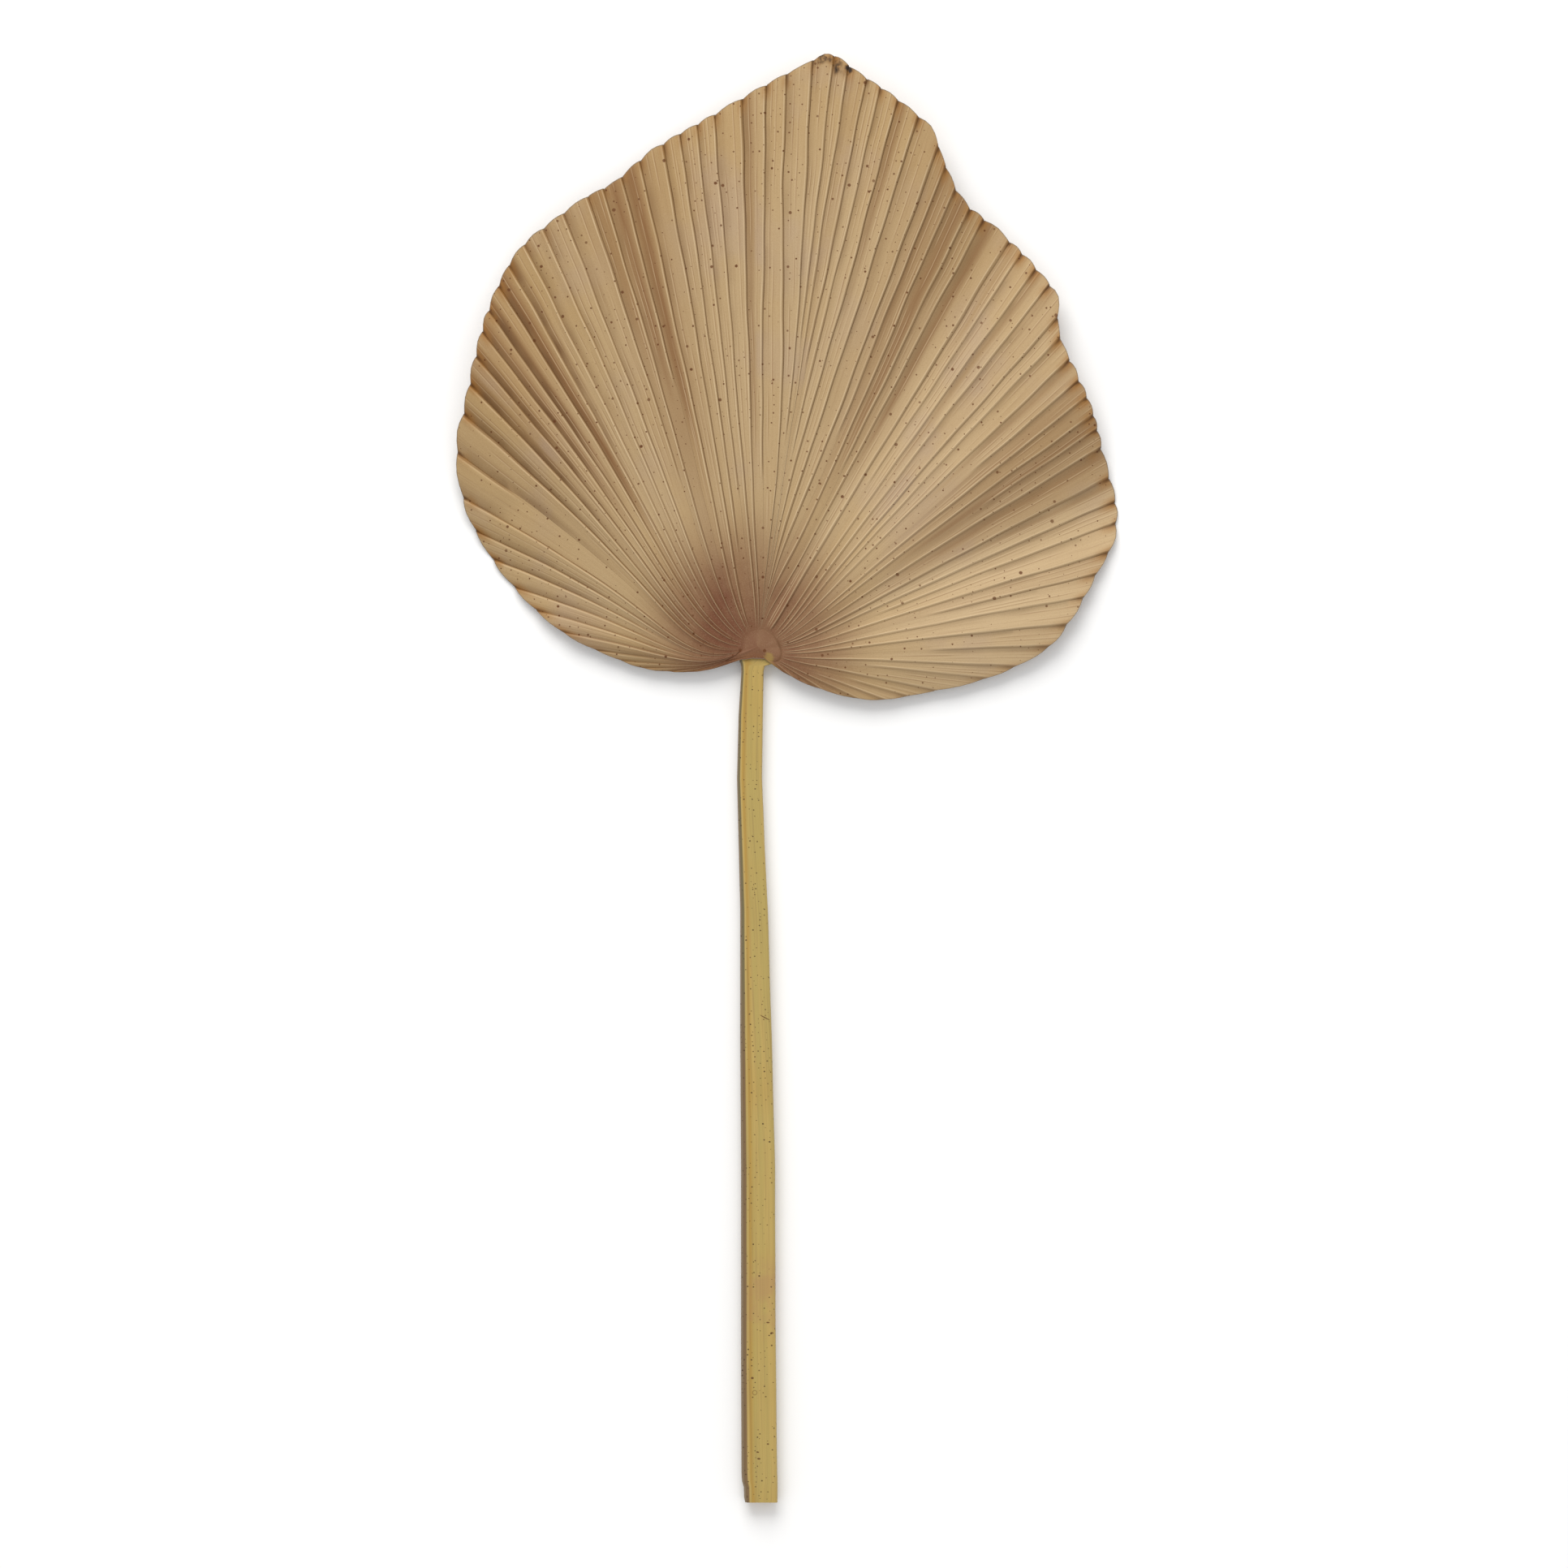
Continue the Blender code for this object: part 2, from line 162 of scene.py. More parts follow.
# The stalk from its cut end to its head: distance past the hub, left side, right side,
# thickness and width of the sloping left flank, all in mm, with sides measured from the hub
STALK: Table = (
    (-591.5, -8.4, 14.0, 12.0, 3.4), (-588.0, -9.1, 14.0, 12.0, 4.1),
    (-581.0, -9.3, 14.0, 12.0, 4.2), (-577.0, -10.5, 14.0, 12.0, 4.5),
    (-571.0, -10.9, 13.8, 12.0, 4.6), (-496.0, -11.2, 12.9, 12.0, 4.3),
    (-361.0, -11.2, 12.3, 11.6, 4.2), (-271.0, -11.8, 10.1, 11.2, 3.8),
    (-181.0, -11.8, 7.3, 10.6, 3.2), (-136.0, -12.9, 5.0, 10.2, 2.8),
    (-91.0, -14.0, 3.4, 10.0, 2.3), (-47.0, -12.9, 3.9, 10.0, 2.0), (-17.0, -11.0, 4.4, 10.0, 1.8),
    (-13.2, -11.2, 5.2, 10.0, 1.9), (-11.6, -11.6, 11.0, 10.0, 2.0),
    (-6.0, -13.8, 13.5, 10.0, 2.5), (6.0, -12.5, 12.5, 10.0, 2.5),
)

# The rib that carries the blade: distance past the hub, half width and thickness, in mm
RIB: Table = (
    (22.0, 9.0, 8.8), (45.0, 7.5, 7.6), (80.0, 6.0, 6.2), (120.0, 4.6, 4.8), (165.0, 3.2, 3.4),
    (205.0, 2.0, 2.2),
)

# Cross-section of stalk and rib, counted up from the middle of its underside: place on the way
# round, part of the width, part of the thickness, and part of the flank
SECTION: Table = (
    (0.0, 0.50, 0.0, 0.0), (1.0, 0.70, 0.0, 0.0), (1.6, 0.85, 0.05, 0.0), (2.2, 0.94, 0.20, 0.0),
    (3.0, 1.0, 0.52, 0.0), (4.0, 0.995, 0.83, 0.0), (4.5, 0.975, 0.945, 0.0),
    (5.0, 0.93, 0.985, 0.0), (6.0, 0.72, 0.965, 0.0), (7.0, 0.52, 0.955, 0.0),
    (8.0, 0.30, 0.965, 0.0), (8.7, 0.06, 0.992, 1.0), (9.0, 0.025, 1.0, 1.0),
    (9.3, 0.0, 0.985, 0.9), (10.0, 0.0, 0.93, 0.42), (10.3, 0.0, 0.86, 0.36),
    (10.6, 0.0, 0.83, 0.30), (11.0, 0.0, 0.80, 0.04), (11.5, 0.0, 0.70, 0.0),
    (12.0, 0.0, 0.50, 0.0), (13.0, 0.08, 0.20, 0.0), (13.6, 0.18, 0.05, 0.0),
    (14.2, 0.32, 0.0, 0.0), (15.0, 0.50, 0.0, 0.0),
)
ARRIS_AT = 9.0
LEDGE_AT = 10.45

# A pleat's crest lies this far before the next fold, within limits as parts of its width
CREST_DROP = 1.7 * MM
CREST_LEAST = 0.6
CREST_MOST = 0.88

# How folds stray from their lines: length of a wave in mm and its size in degrees
WANDER: Table = ((46.0, 0.03), (83.0, 0.05), (160.0, 0.07))

# The brown about the hub: direction in degrees, strength, and distance in mm where it starts to
# fade and where it is gone
HUB_TONE: Table = (
    (-180, 0.94, 22, 94), (-120, 0.96, 24, 98), (-90, 0.94, 24, 98), (-60, 0.98, 28, 104),
    (-40, 1.0, 32, 114), (-20, 0.96, 24, 114), (0, 0.88, 22, 114), (12, 0.8, 18, 104),
    (28, 0.84, 20, 110), (45, 0.86, 20, 102), (80, 0.86, 18, 92), (130, 0.92, 20, 94),
    (180, 0.94, 22, 94),
)

# Marks on the stalk: place from the hub, half length and half width in mm, turn in degrees
STALK_MARKS: Table = (
    (5.3, -256.3, 4.4, 0.42, -28), (-3.4, -505.4, 1.1, 0.9, 0), (7.4, -467.0, 1.3, 0.6, 0),
    (10.2, -474.2, 1.3, 0.6, -8), (0.3, -556.6, 1.1, 0.6, -8), (1.1, -561.2, 1.3, 0.7, -4),
    (7.4, -551.0, 0.9, 0.6, -4),
)
RING_MARK = (-1.7, -515.5, 1.5)

# Where the head of the stalk shows beside the boss: place from the hub and half sizes, in mm
HEAD_PATCH = (8.2, -8.0, 3.1, 4.2)

# Scorched spots at the tip: place from the hub and reach, in mm
SCORCHES: Table = (
    (46.0, 406.5, 7.5), (52.7, 406.0, 6.5), (62.5, 397.5, 5.5), (56.0, 400.5, 5.5),
)


class Draw(Enum):
    """Which of the leaf's own random draws is made, as its distance from the seed."""

    WANDER = 0
    LOBES = 1
    DEPTHS = 2
    STARTS = 5

    def lots(self) -> np.random.Generator:
        """Start this draw afresh."""
        return np.random.default_rng(SEED + self.value)


def smooth_line(table: Table, column: int, at: np.ndarray) -> np.ndarray:
    """Read a column of a table on a smooth line through its points.

    Between two points the line is the cubic that has their heights and the mean slopes there.

    Args:
        table: Rows whose first value rises.
        column: The column that is read.
        at: First values at which it is read.

    Returns:
        The column's value at each of them.
    """
    points = np.array(table, dtype=float)
    x = points[:, 0]
    y = points[:, column]
    slopes = np.gradient(y, x)
    k = np.clip(np.searchsorted(x, at, side="right") - 1, 0, len(x) - 2)
    width = x[k + 1] - x[k]
    s = (at - x[k]) / width
    return (
        y[k] * (2 * s**3 - 3 * s**2 + 1)
        + slopes[k] * width * (s**3 - 2 * s**2 + s)
        + y[k + 1] * (3 * s**2 - 2 * s**3)
        + slopes[k + 1] * width * (s**3 - s**2)
    )


def straight_line(table: Table, column: int, at: np.ndarray) -> np.ndarray:
    """Read a column of a table on straight runs between its points.

    Args:
        table: Rows whose first value rises.
        column: The column that is read.
        at: First values at which it is read.

    Returns:
        The column's value at each of them.
    """
    points = np.array(table, dtype=float)
    return np.interp(at, points[:, 0], points[:, column])


def smooth_step(t: np.ndarray) -> np.ndarray:
    """Rise from 0 to 1 as 3t² - 2t³, level at both ends."""
    t = np.clip(t, 0.0, 1.0)
    return t * t * (3 - 2 * t)


def hump(t: np.ndarray) -> np.ndarray:
    """A round hump, e to the power of -t²: 1 at t = 0 and near 0 from t = 2."""
    return np.exp(-t * t)


def linear_colour(colour: Colour) -> tuple[float, float, float, float]:
    """Turn a colour as a screen shows it, 0 to 255, into the linear values that shaders use.

    Args:
        colour: Red, green and blue.

    Returns:
        Linear red, green and blue, and an alpha of 1.
    """
    value = np.array(colour) / 255.0
    linear = np.where(value <= 0.04045, value / 12.92, ((value + 0.055) / 1.055) ** 2.4)
    return (*(float(part) for part in linear), 1.0)


def triangles(index: np.ndarray) -> np.ndarray:
    """Split a grid of vertex numbers into triangles, two to a cell.

    Args:
        index: Vertex numbers, columns by rows.

    Returns:
        One row of three places in the flattened grid for each triangle.
    """
    place = np.arange(index.size).reshape(index.shape)
    a, b = place[:-1, :-1].ravel(), place[1:, :-1].ravel()
    c, d = place[1:, 1:].ravel(), place[:-1, 1:].ravel()
    return np.vstack((np.stack((a, b, c), axis=1), np.stack((a, c, d), axis=1)))


@dataclass
class Shell:
    """A mesh in the making: grids of points with a place on the pattern and named values."""

    points: list[np.ndarray] = field(default_factory=list)
    pattern: list[np.ndarray] = field(default_factory=list)
    values: dict[str, list[np.ndarray]] = field(default_factory=dict)
    faces: list[np.ndarray] = field(default_factory=list)
    count: int = 0

    def add_grid(
        self, points: np.ndarray, pattern: np.ndarray, values: dict[str, np.ndarray], flip: bool
    ) -> None:
        """Add a grid of points, columns by rows.

        Args:
            points: The grid's points.
            pattern: The two coordinates of each point on the pattern.
            values: A named value for each point.
            flip: True turns the faces over.
        """
        faces = triangles(points[..., 0]) + self.count
        self.faces.append(faces[:, ::-1] if flip else faces)
        self.points.append(points.reshape(-1, 3))
        self.pattern.append(pattern.reshape(-1, 2))
        for name, value in values.items():
            spread = np.broadcast_to(value, points.shape[:2])
            self.values.setdefault(name, []).append(spread.ravel())
        self.count += points[..., 0].size

    def make(self, name: str) -> bpy.types.Object:
        """Merge points that coincide, drop the triangles this flattens, and make the object.

        Args:
            name: The object's name.

        Returns:
            The object, linked to the scene, with its place in its mesh.
        """
        points = np.vstack(self.points)
        faces = np.vstack(self.faces)
        keys = np.round(points / MERGE_DISTANCE).astype(np.int64)
        _, first, merged = np.unique(keys, axis=0, return_index=True, return_inverse=True)
        merged = merged.ravel()
        corners = merged[faces]
        full = (
            (corners[:, 0] != corners[:, 1])
            & (corners[:, 1] != corners[:, 2])
            & (corners[:, 2] != corners[:, 0])
        )
        faces, corners = faces[full], corners[full]
        mesh = bpy.data.meshes.new(name)
        mesh.from_pydata(points[first].tolist(), [], corners.tolist())
        pattern = mesh.uv_layers.new(name=PATTERN)
        pattern.data.foreach_set("uv", np.vstack(self.pattern)[faces.ravel()].ravel())
        for key, parts in self.values.items():
            attribute = mesh.attributes.new(key, "FLOAT", "POINT")
            attribute.data.foreach_set("value", np.concatenate(parts)[first].astype(np.float32))
        mesh.update()
        mesh.shade_smooth()
        mesh.set_sharp_from_angle(angle=np.radians(SMOOTH_ANGLE))
        thing = bpy.data.objects.new(name, mesh)
        bpy.context.scene.collection.objects.link(thing)
        return thing


@dataclass
class Graph:
    """A node tree, with one short call for each kind of node that the finishes use."""

    tree: bpy.types.NodeTree

    def add(self, kind: str, **settings: object) -> bpy.types.Node:
        """Add a node and set its options.

        Args:
            kind: The node's type.
            settings: Its options, by name.

        Returns:
            The node.
        """
        node = self.tree.nodes.new(kind)
        for name, value in settings.items():
            setattr(node, name, value)
        return node

    def feed(self, socket: Socket, value: object) -> None:
        """Link a socket to another one, or set its own value.

        Args:
            socket: The socket that is fed.
            value: A socket or a plain value.
        """
        if isinstance(value, bpy.types.NodeSocket):
            self.tree.links.new(value, socket)
        else:
            socket.default_value = value

    def math(self, operation: str, a: object, b: object = 0.0, clamp: bool = False) -> Socket:
        """Do one sum on two numbers.

        Args:
            operation: The sum's name in the node.
            a: The first number.
            b: The second number.
            clamp: True keeps the result to 0 to 1.

        Returns:
            The result.
        """
        node = self.add("ShaderNodeMath", operation=operation, use_clamp=clamp)
        self.feed(node.inputs[0], a)
        self.feed(node.inputs[1], b)
        return node.outputs[0]

    def times(self, first: object, *others: object, clamp: bool = False) -> Socket:
        """Multiply two or more numbers.

        Args:
            first: The first number.
            others: The numbers that it is multiplied by, in turn.
            clamp: True keeps the result to 0 to 1.

        Returns:
            The product.
        """
        for other in others[:-1]:
            first = self.math("MULTIPLY", first, other)
        return self.math("MULTIPLY", first, others[-1], clamp)

    def plus(self, a: object, b: object, clamp: bool = False) -> Socket:
        """Return the sum of two numbers."""
        return self.math("ADD", a, b, clamp)

    def minus(self, a: object, b: object) -> Socket:
        """Return what is left of a without b."""
        return self.math("SUBTRACT", a, b)

    def rest(self, a: object) -> Socket:
        """Return what is left of 1 without a."""
        return self.math("SUBTRACT", 1.0, a)

    def ramp(self, value: object, slope: object, start: object) -> Socket:
        """Return start plus slope times value."""
        return self.plus(self.times(value, slope), start)

    def away(self, value: object, middle: object) -> Socket:
        """Return how far value is from middle, whichever way."""
        return self.math("ABSOLUTE", self.minus(value, middle))

    def greatest(self, first: Socket, *others: object) -> Socket:
        """Find the greatest of some numbers.

        Args:
            first: The first number.
            others: The other numbers.

        Returns:
            The greatest.
        """
        for other in others:
            first = self.math("MAXIMUM", first, other)
        return first

    def fade(self, value: object, start: object, end: object) -> Socket:
        """Rise softly from 0 to 1 as a value goes from a start to an end.

        Args:
            value: The number that is read.
            start: Where the result is 0.
            end: Where it is 1.

        Returns:
            The result, 0 to 1.
        """
        node = self.add("ShaderNodeMapRange", interpolation_type="SMOOTHSTEP")
        self.feed(node.inputs["Value"], value)
        self.feed(node.inputs["From Min"], start)
        self.feed(node.inputs["From Max"], end)
        return node.outputs["Result"]

    def mix(self, share: object, a: object, b: object) -> Socket:
        """Lay a share of one colour over another.

        Args:
            share: The part of the second colour, 0 to 1.
            a: The first colour.
            b: The second colour.

        Returns:
            The mixed colour.
        """
        node = self.add("ShaderNodeMix", data_type="RGBA")
        self.feed(node.inputs[0], share)
        for socket, value in ((node.inputs[6], a), (node.inputs[7], b)):
            self.feed(socket, linear_colour(value) if isinstance(value, tuple) else value)
        return node.outputs[2]

    def scaled(self, vector: Socket, scale: tuple[float, float, float]) -> Socket:
        """Multiply each part of a vector.

        Args:
            vector: The vector.
            scale: What its three parts are multiplied by.

        Returns:
            The new vector.
        """
        node = self.add("ShaderNodeVectorMath", operation="MULTIPLY")
        self.feed(node.inputs[0], vector)
        node.inputs[1].default_value = scale
        return node.outputs[0]

    def combine(self, x: object, y: object, z: object = 0.0) -> Socket:
        """Make a vector of three numbers.

        Args:
            x: The first part.
            y: The second part.
            z: The third part.

        Returns:
            The vector.
        """
        node = self.add("ShaderNodeCombineXYZ")
        for socket, value in zip(node.inputs, (x, y, z)):
            self.feed(socket, value)
        return node.outputs[0]

    def split(self, vector: Socket) -> tuple[Socket, Socket, Socket]:
        """Part a vector.

        Args:
            vector: The vector.

        Returns:
            Its three parts.
        """
        node = self.add("ShaderNodeSeparateXYZ")
        self.feed(node.inputs[0], vector)
        return node.outputs[0], node.outputs[1], node.outputs[2]

    def noise(self, vector: object, scale: object = 1.0, detail: float = 3.0) -> Socket:
        """Make smooth noise about 0.5.

        Args:
            vector: The place that is read.
            scale: Bumps to a unit.
            detail: How many finer layers it has.

        Returns:
            The noise, from near 0 to near 1.
        """
        node = self.add("ShaderNodeTexNoise")
        self.feed(node.inputs["Vector"], vector)
        self.feed(node.inputs["Scale"], scale)
        node.inputs["Detail"].default_value = detail
        return node.outputs["Fac"]

    def lot(self, number: Socket) -> Socket:
        """Draw a steady number for each whole number.

        Args:
            number: A whole number.

        Returns:
            Its own number, 0 to 1.
        """
        node = self.add("ShaderNodeTexWhiteNoise", noise_dimensions="1D")
        self.feed(node.inputs["W"], number)
        return node.outputs["Value"]

    def named(self, name: str) -> Socket:
        """Return a value that the mesh holds."""
        return self.add("ShaderNodeAttribute", attribute_name=name).outputs["Fac"]

    def group(self, group: bpy.types.NodeTree, **values: object) -> bpy.types.Node:
        """Place a node group and set its inputs.

        Args:
            group: The group.
            values: Its inputs, by name.

        Returns:
            The group's node.
        """
        node = self.add("ShaderNodeGroup", node_tree=group)
        for name, value in values.items():
            self.feed(node.inputs[name], value)
        return node

    def bump(self, shader: bpy.types.Node, height: Socket, strength: float, depth: float) -> None:
        """Give a shader a fine relief.

        Args:
            shader: The shader.
            height: The relief's height, about 0 to 1.
            strength: How strongly it turns the surface.
            depth: The depth of 1, in metres.
        """
        node = self.add("ShaderNodeBump")
        node.inputs["Strength"].default_value = strength
        node.inputs["Distance"].default_value = depth
        self.feed(node.inputs["Height"], height)
        self.feed(shader.inputs["Normal"], node.outputs[0])


class Side(Enum):
    """Which way a group's socket faces."""

    IN = "INPUT"
    OUT = "OUTPUT"


def new_group(name: str, sockets: tuple[tuple[str, Side, str, float], ...]) -> bpy.types.NodeTree:
    """Make a node group with its sockets.

    Args:
        name: The group's name.
        sockets: For each socket its name, side, kind and resting value.

    Returns:
        The group, which holds nothing yet.
    """
    tree = bpy.data.node_groups.new(name, "ShaderNodeTree")
    for label, side, kind, value in sockets:
        socket = tree.interface.new_socket(label, in_out=side.value, socket_type=kind)
        if kind == NUMBER:
            socket.default_value = value
    return tree


def new_material(name: str) -> tuple[bpy.types.Material, bpy.types.Node, Graph]:
    """Make a material.

    Args:
        name: The material's name.

    Returns:
        The material, its shader and its nodes.
    """
    material = bpy.data.materials.new(name)
    material.use_nodes = True
    return material, material.node_tree.nodes["Principled BSDF"], Graph(material.node_tree)


@dataclass(frozen=True)
class Specks:
    """Small brown spots, one at most to a cell of a scattered pattern.

    A scale is a noise's bumps to a cell.
    """

    crowding: float = 2.5
    edge: float = 0.6
    rough_scale: float = 9.0
    crowd_scale: float = 0.16

    def group(self) -> bpy.types.NodeTree:
        """Build the group.

        A cell's spot is kept where its own lot is under the share, which rises and falls in
        crowds. Its radius lies between the two radii, most often near the least, and its edge
        is made uneven by noise.

        Returns:
            A group with Vector, Cells, Share, Least and Most in, and Mask out.
        """
        tree = new_group(
            "leaf_specks",
            (
                ("Vector", Side.IN, VECTOR, 0.0),
                ("Cells", Side.IN, NUMBER, 100.0),
                ("Share", Side.IN, NUMBER, 0.5),
                ("Least", Side.IN, NUMBER, 0.03),
                ("Most", Side.IN, NUMBER, 0.08),
                ("Mask", Side.OUT, NUMBER, 0.0),
            ),
        )
        graph = Graph(tree)
        given = graph.add("NodeGroupInput").outputs
        cells = graph.add("ShaderNodeTexVoronoi", voronoi_dimensions="2D")
        graph.feed(cells.inputs["Vector"], given["Vector"])
        graph.feed(cells.inputs["Scale"], given["Cells"])
        lots = graph.add("ShaderNodeSeparateColor")
        graph.feed(lots.inputs[0], cells.outputs["Color"])
        spread = graph.minus(given["Most"], given["Least"])
        radius = graph.ramp(
            graph.math("POWER", lots.outputs[1], self.crowding), spread, given["Least"]
        )
        rough = graph.noise(given["Vector"], graph.times(given["Cells"], self.rough_scale), 2.0)
        distance = graph.times(cells.outputs["Distance"], graph.ramp(rough, 0.7, 0.65))
        spot = graph.fade(distance, radius, graph.times(radius, self.edge))
        crowd = graph.times(given["Cells"], self.crowd_scale)
        crowd = graph.fade(graph.noise(given["Vector"], crowd, 2.0), 0.36, 0.64)
        crowd = graph.ramp(crowd, 1.5, 0.25)
        kept = graph.math("LESS_THAN", lots.outputs[0], graph.times(given["Share"], crowd))
        mask = graph.times(spot, kept, graph.ramp(lots.outputs[2], 0.3, 0.7))
        graph.feed(graph.add("NodeGroupOutput").inputs["Mask"], mask)
        return tree


@dataclass(frozen=True)
class Fibres:
    """Fine fibres that run along a pleat or along the stalk."""

    thin_across: float = 3.7
    thin_along: float = 2.1
    grain_scale: float = 1300.0

    def group(self) -> bpy.types.NodeTree:
        """Build the group.

        The streaks are the mean of a broad and a thin noise, both drawn out along the second
        coordinate of the pattern, and the grain is fine even noise.

        Returns:
            A group with Across, Along and Place in, and Streaks and Grain out, both 0 to 1.
        """
        tree = new_group(
            "leaf_fibres",
            (
                ("Across", Side.IN, NUMBER, 0.0),
                ("Along", Side.IN, NUMBER, 0.0),
                ("Place", Side.IN, VECTOR, 0.0),
                ("Streaks", Side.OUT, NUMBER, 0.5),
                ("Grain", Side.OUT, NUMBER, 0.5),
            ),
        )
        graph = Graph(tree)
        given = graph.add("NodeGroupInput").outputs
        out = graph.add("NodeGroupOutput")
        broad = graph.noise(graph.combine(given["Across"], given["Along"]), 1.0, 2.0)
        across = graph.times(given["Across"], self.thin_across)
        along = graph.times(given["Along"], self.thin_along)
        thin = graph.noise(graph.combine(across, along, 5.0))
        graph.feed(out.inputs["Streaks"], graph.times(graph.plus(broad, thin), 0.5))
        graph.feed(out.inputs["Grain"], graph.noise(given["Place"], self.grain_scale))
        return tree


@dataclass(frozen=True)
class SpeckSize:
    """One size of specks: cells to a metre, share kept, and radii as parts of a cell."""

    cells: float
    share: float
    least: float
    most: float

    def mask(self, graph: Graph, group: bpy.types.NodeTree, vector: Socket) -> Socket:
        """Return the strength of this size of specks, 0 to 1."""
        values = {"Cells": self.cells, "Share": self.share, "Least": self.least, "Most": self.most}
        return graph.group(group, Vector=vector, **values).outputs["Mask"]


@dataclass(frozen=True)
class OnBlade:
    """What the blade's finish reads: places on the leaf and its pattern, and fibres.

    The phase runs from 0 to 1 across a pleat, width and gap to the rim are in mm, and along is
    the distance from the hub in metres.
    """

    place: Socket
    along: Socket
    phase: Socket
    pleat: Socket
    width: Socket
    gap: Socket
    pleated: Socket
    streaks: Socket
    grain: Socket


@dataclass(frozen=True)
class BladeFinish:
    """Dry, dull leaf: tan panels, light ridges with painted highlight, hollows in brown and painted
    shade, brown hub.

    A share is how much of a colour lies over what is under it where its mark is full, and a
    scale is a noise's bumps to a metre. A reach holds the distances from the rim in mm where a
    mark starts to fade and where it is gone, a start those from the hub in metres where a mark
    begins and where it is full, and a width those from a notch in mm where a mark is gone and
    where it is full. A vein has a stream of lots, and the least place and the run of places
    where it can lie across a pleat.
    """

    groups: dict[str, bpy.types.NodeTree]
    tan: Colour = (173, 147, 108)
    pale: Colour = (196, 171, 134)
    gold: Colour = (170, 140, 95)
    lilac: Colour = (164, 142, 126)
    ridge: Colour = (200, 175, 138)
    hollow: Colour = (112, 69, 28)
    shade: Colour = (106, 74, 40)
    line: Colour = (90, 56, 22)
    scorch: Colour = (46, 32, 20)
    hub: Colour = (100, 50, 28)
    amber: Colour = (146, 98, 38)
    rim_edge: Colour = (116, 104, 90)
    speck: Colour = (92, 48, 6)
    head: Colour = (146, 117, 64)
    boss: Colour = (130, 97, 70)
    specks: tuple[SpeckSize, ...] = (
        SpeckSize(150.0, 0.46, 0.055, 0.125),
        SpeckSize(56.0, 0.37, 0.045, 0.085),
        SpeckSize(19.0, 0.42, 0.017, 0.027),
    )
    veins: tuple[tuple[float, float, float], ...] = ((1.7, 0.16, 0.24), (5.3, 0.46, 0.16))
    fibres_to_pleat: float = 9.0
    fibres_to_metre: float = 14.0
    drift_scale: float = 6.0
    patch_scale: float = 17.0
    vein_scale: float = 18.0
    ridge_scale: float = 26.0
    hub_scale: float = 38.0
    amber_scale: float = 55.0
    scorch_scale: float = 200.0
    gold_reach: tuple[float, float] = (10.0, 130.0)
    amber_reach: tuple[float, float] = (0.5, 16.0)
    edge_reach: tuple[float, float] = (0.25, 0.9)
    pale_start: tuple[float, float] = (0.04, 0.16)
    lilac_start: tuple[float, float] = (0.07, 0.15)
    amber_width: tuple[float, float] = (6.5, 0.6)
    notch_width: tuple[float, float] = (2.2, 0.2)
    notch_least: float = 4.0
    notch_spread: float = 13.0
    pale_share: float = 0.8
    gold_share: float = 0.45
    lilac_share: float = 0.4
    dark_streak_share: float = 0.22
    light_streak_share: float = 0.25
    dark_pleat_share: float = 0.14
    grain_share: float = 0.2
    shade_share: float = 0.72
    vein_share: float = 0.48
    vein_shadow_share: float = 0.36
    hollow_share: float = 0.8
    hub_share: float = 0.9
    fuzz_share: float = 0.12
    boss_share: float = 0.35
    groove_shade_share: float = 0.65
    amber_share: float = 0.85
    notch_share: float = 0.88
    edge_share: float = 0.7
    speck_share: float = 0.95
    roughness: float = 0.51
    fibre_roughness: float = 0.22
    gloss: float = 0.28
    relief_strength: float = 0.75
    relief_depth: float = 0.5 * MM
    fibre_relief: float = 0.55
    grain_relief: float = 0.16
    ridge_relief: float = 0.55
    line_relief: float = 0.6
    speck_relief: float = 0.2

    def read(self, graph: Graph) -> OnBlade:
        """Read the pattern, the mesh's values and the fibres, which stop on the boss.

        Args:
            graph: The material's nodes.

        Returns:
            What the finish reads.
        """
        uv = graph.add("ShaderNodeUVMap", uv_map=PATTERN).outputs[0]
        place = graph.add("ShaderNodeTexCoord").outputs["Object"]
        across, along, _ = graph.split(uv)
        fibres = graph.group(
            self.groups["fibres"],
            Across=graph.times(across, self.fibres_to_pleat),
            Along=graph.times(along, self.fibres_to_metre),
            Place=place,
        ).outputs
        off_boss = graph.rest(graph.named("boss"))
        return OnBlade(
            place=place,
            along=along,
            phase=graph.math("FRACT", across),
            pleat=graph.math("FLOOR", across),
            width=graph.named("pleat_width"),
            gap=graph.named("rim_gap"),
            pleated=graph.named("pleated"),
            streaks=graph.ramp(graph.minus(fibres["Streaks"], 0.5), off_boss, 0.5),
            grain=fibres["Grain"],
        )

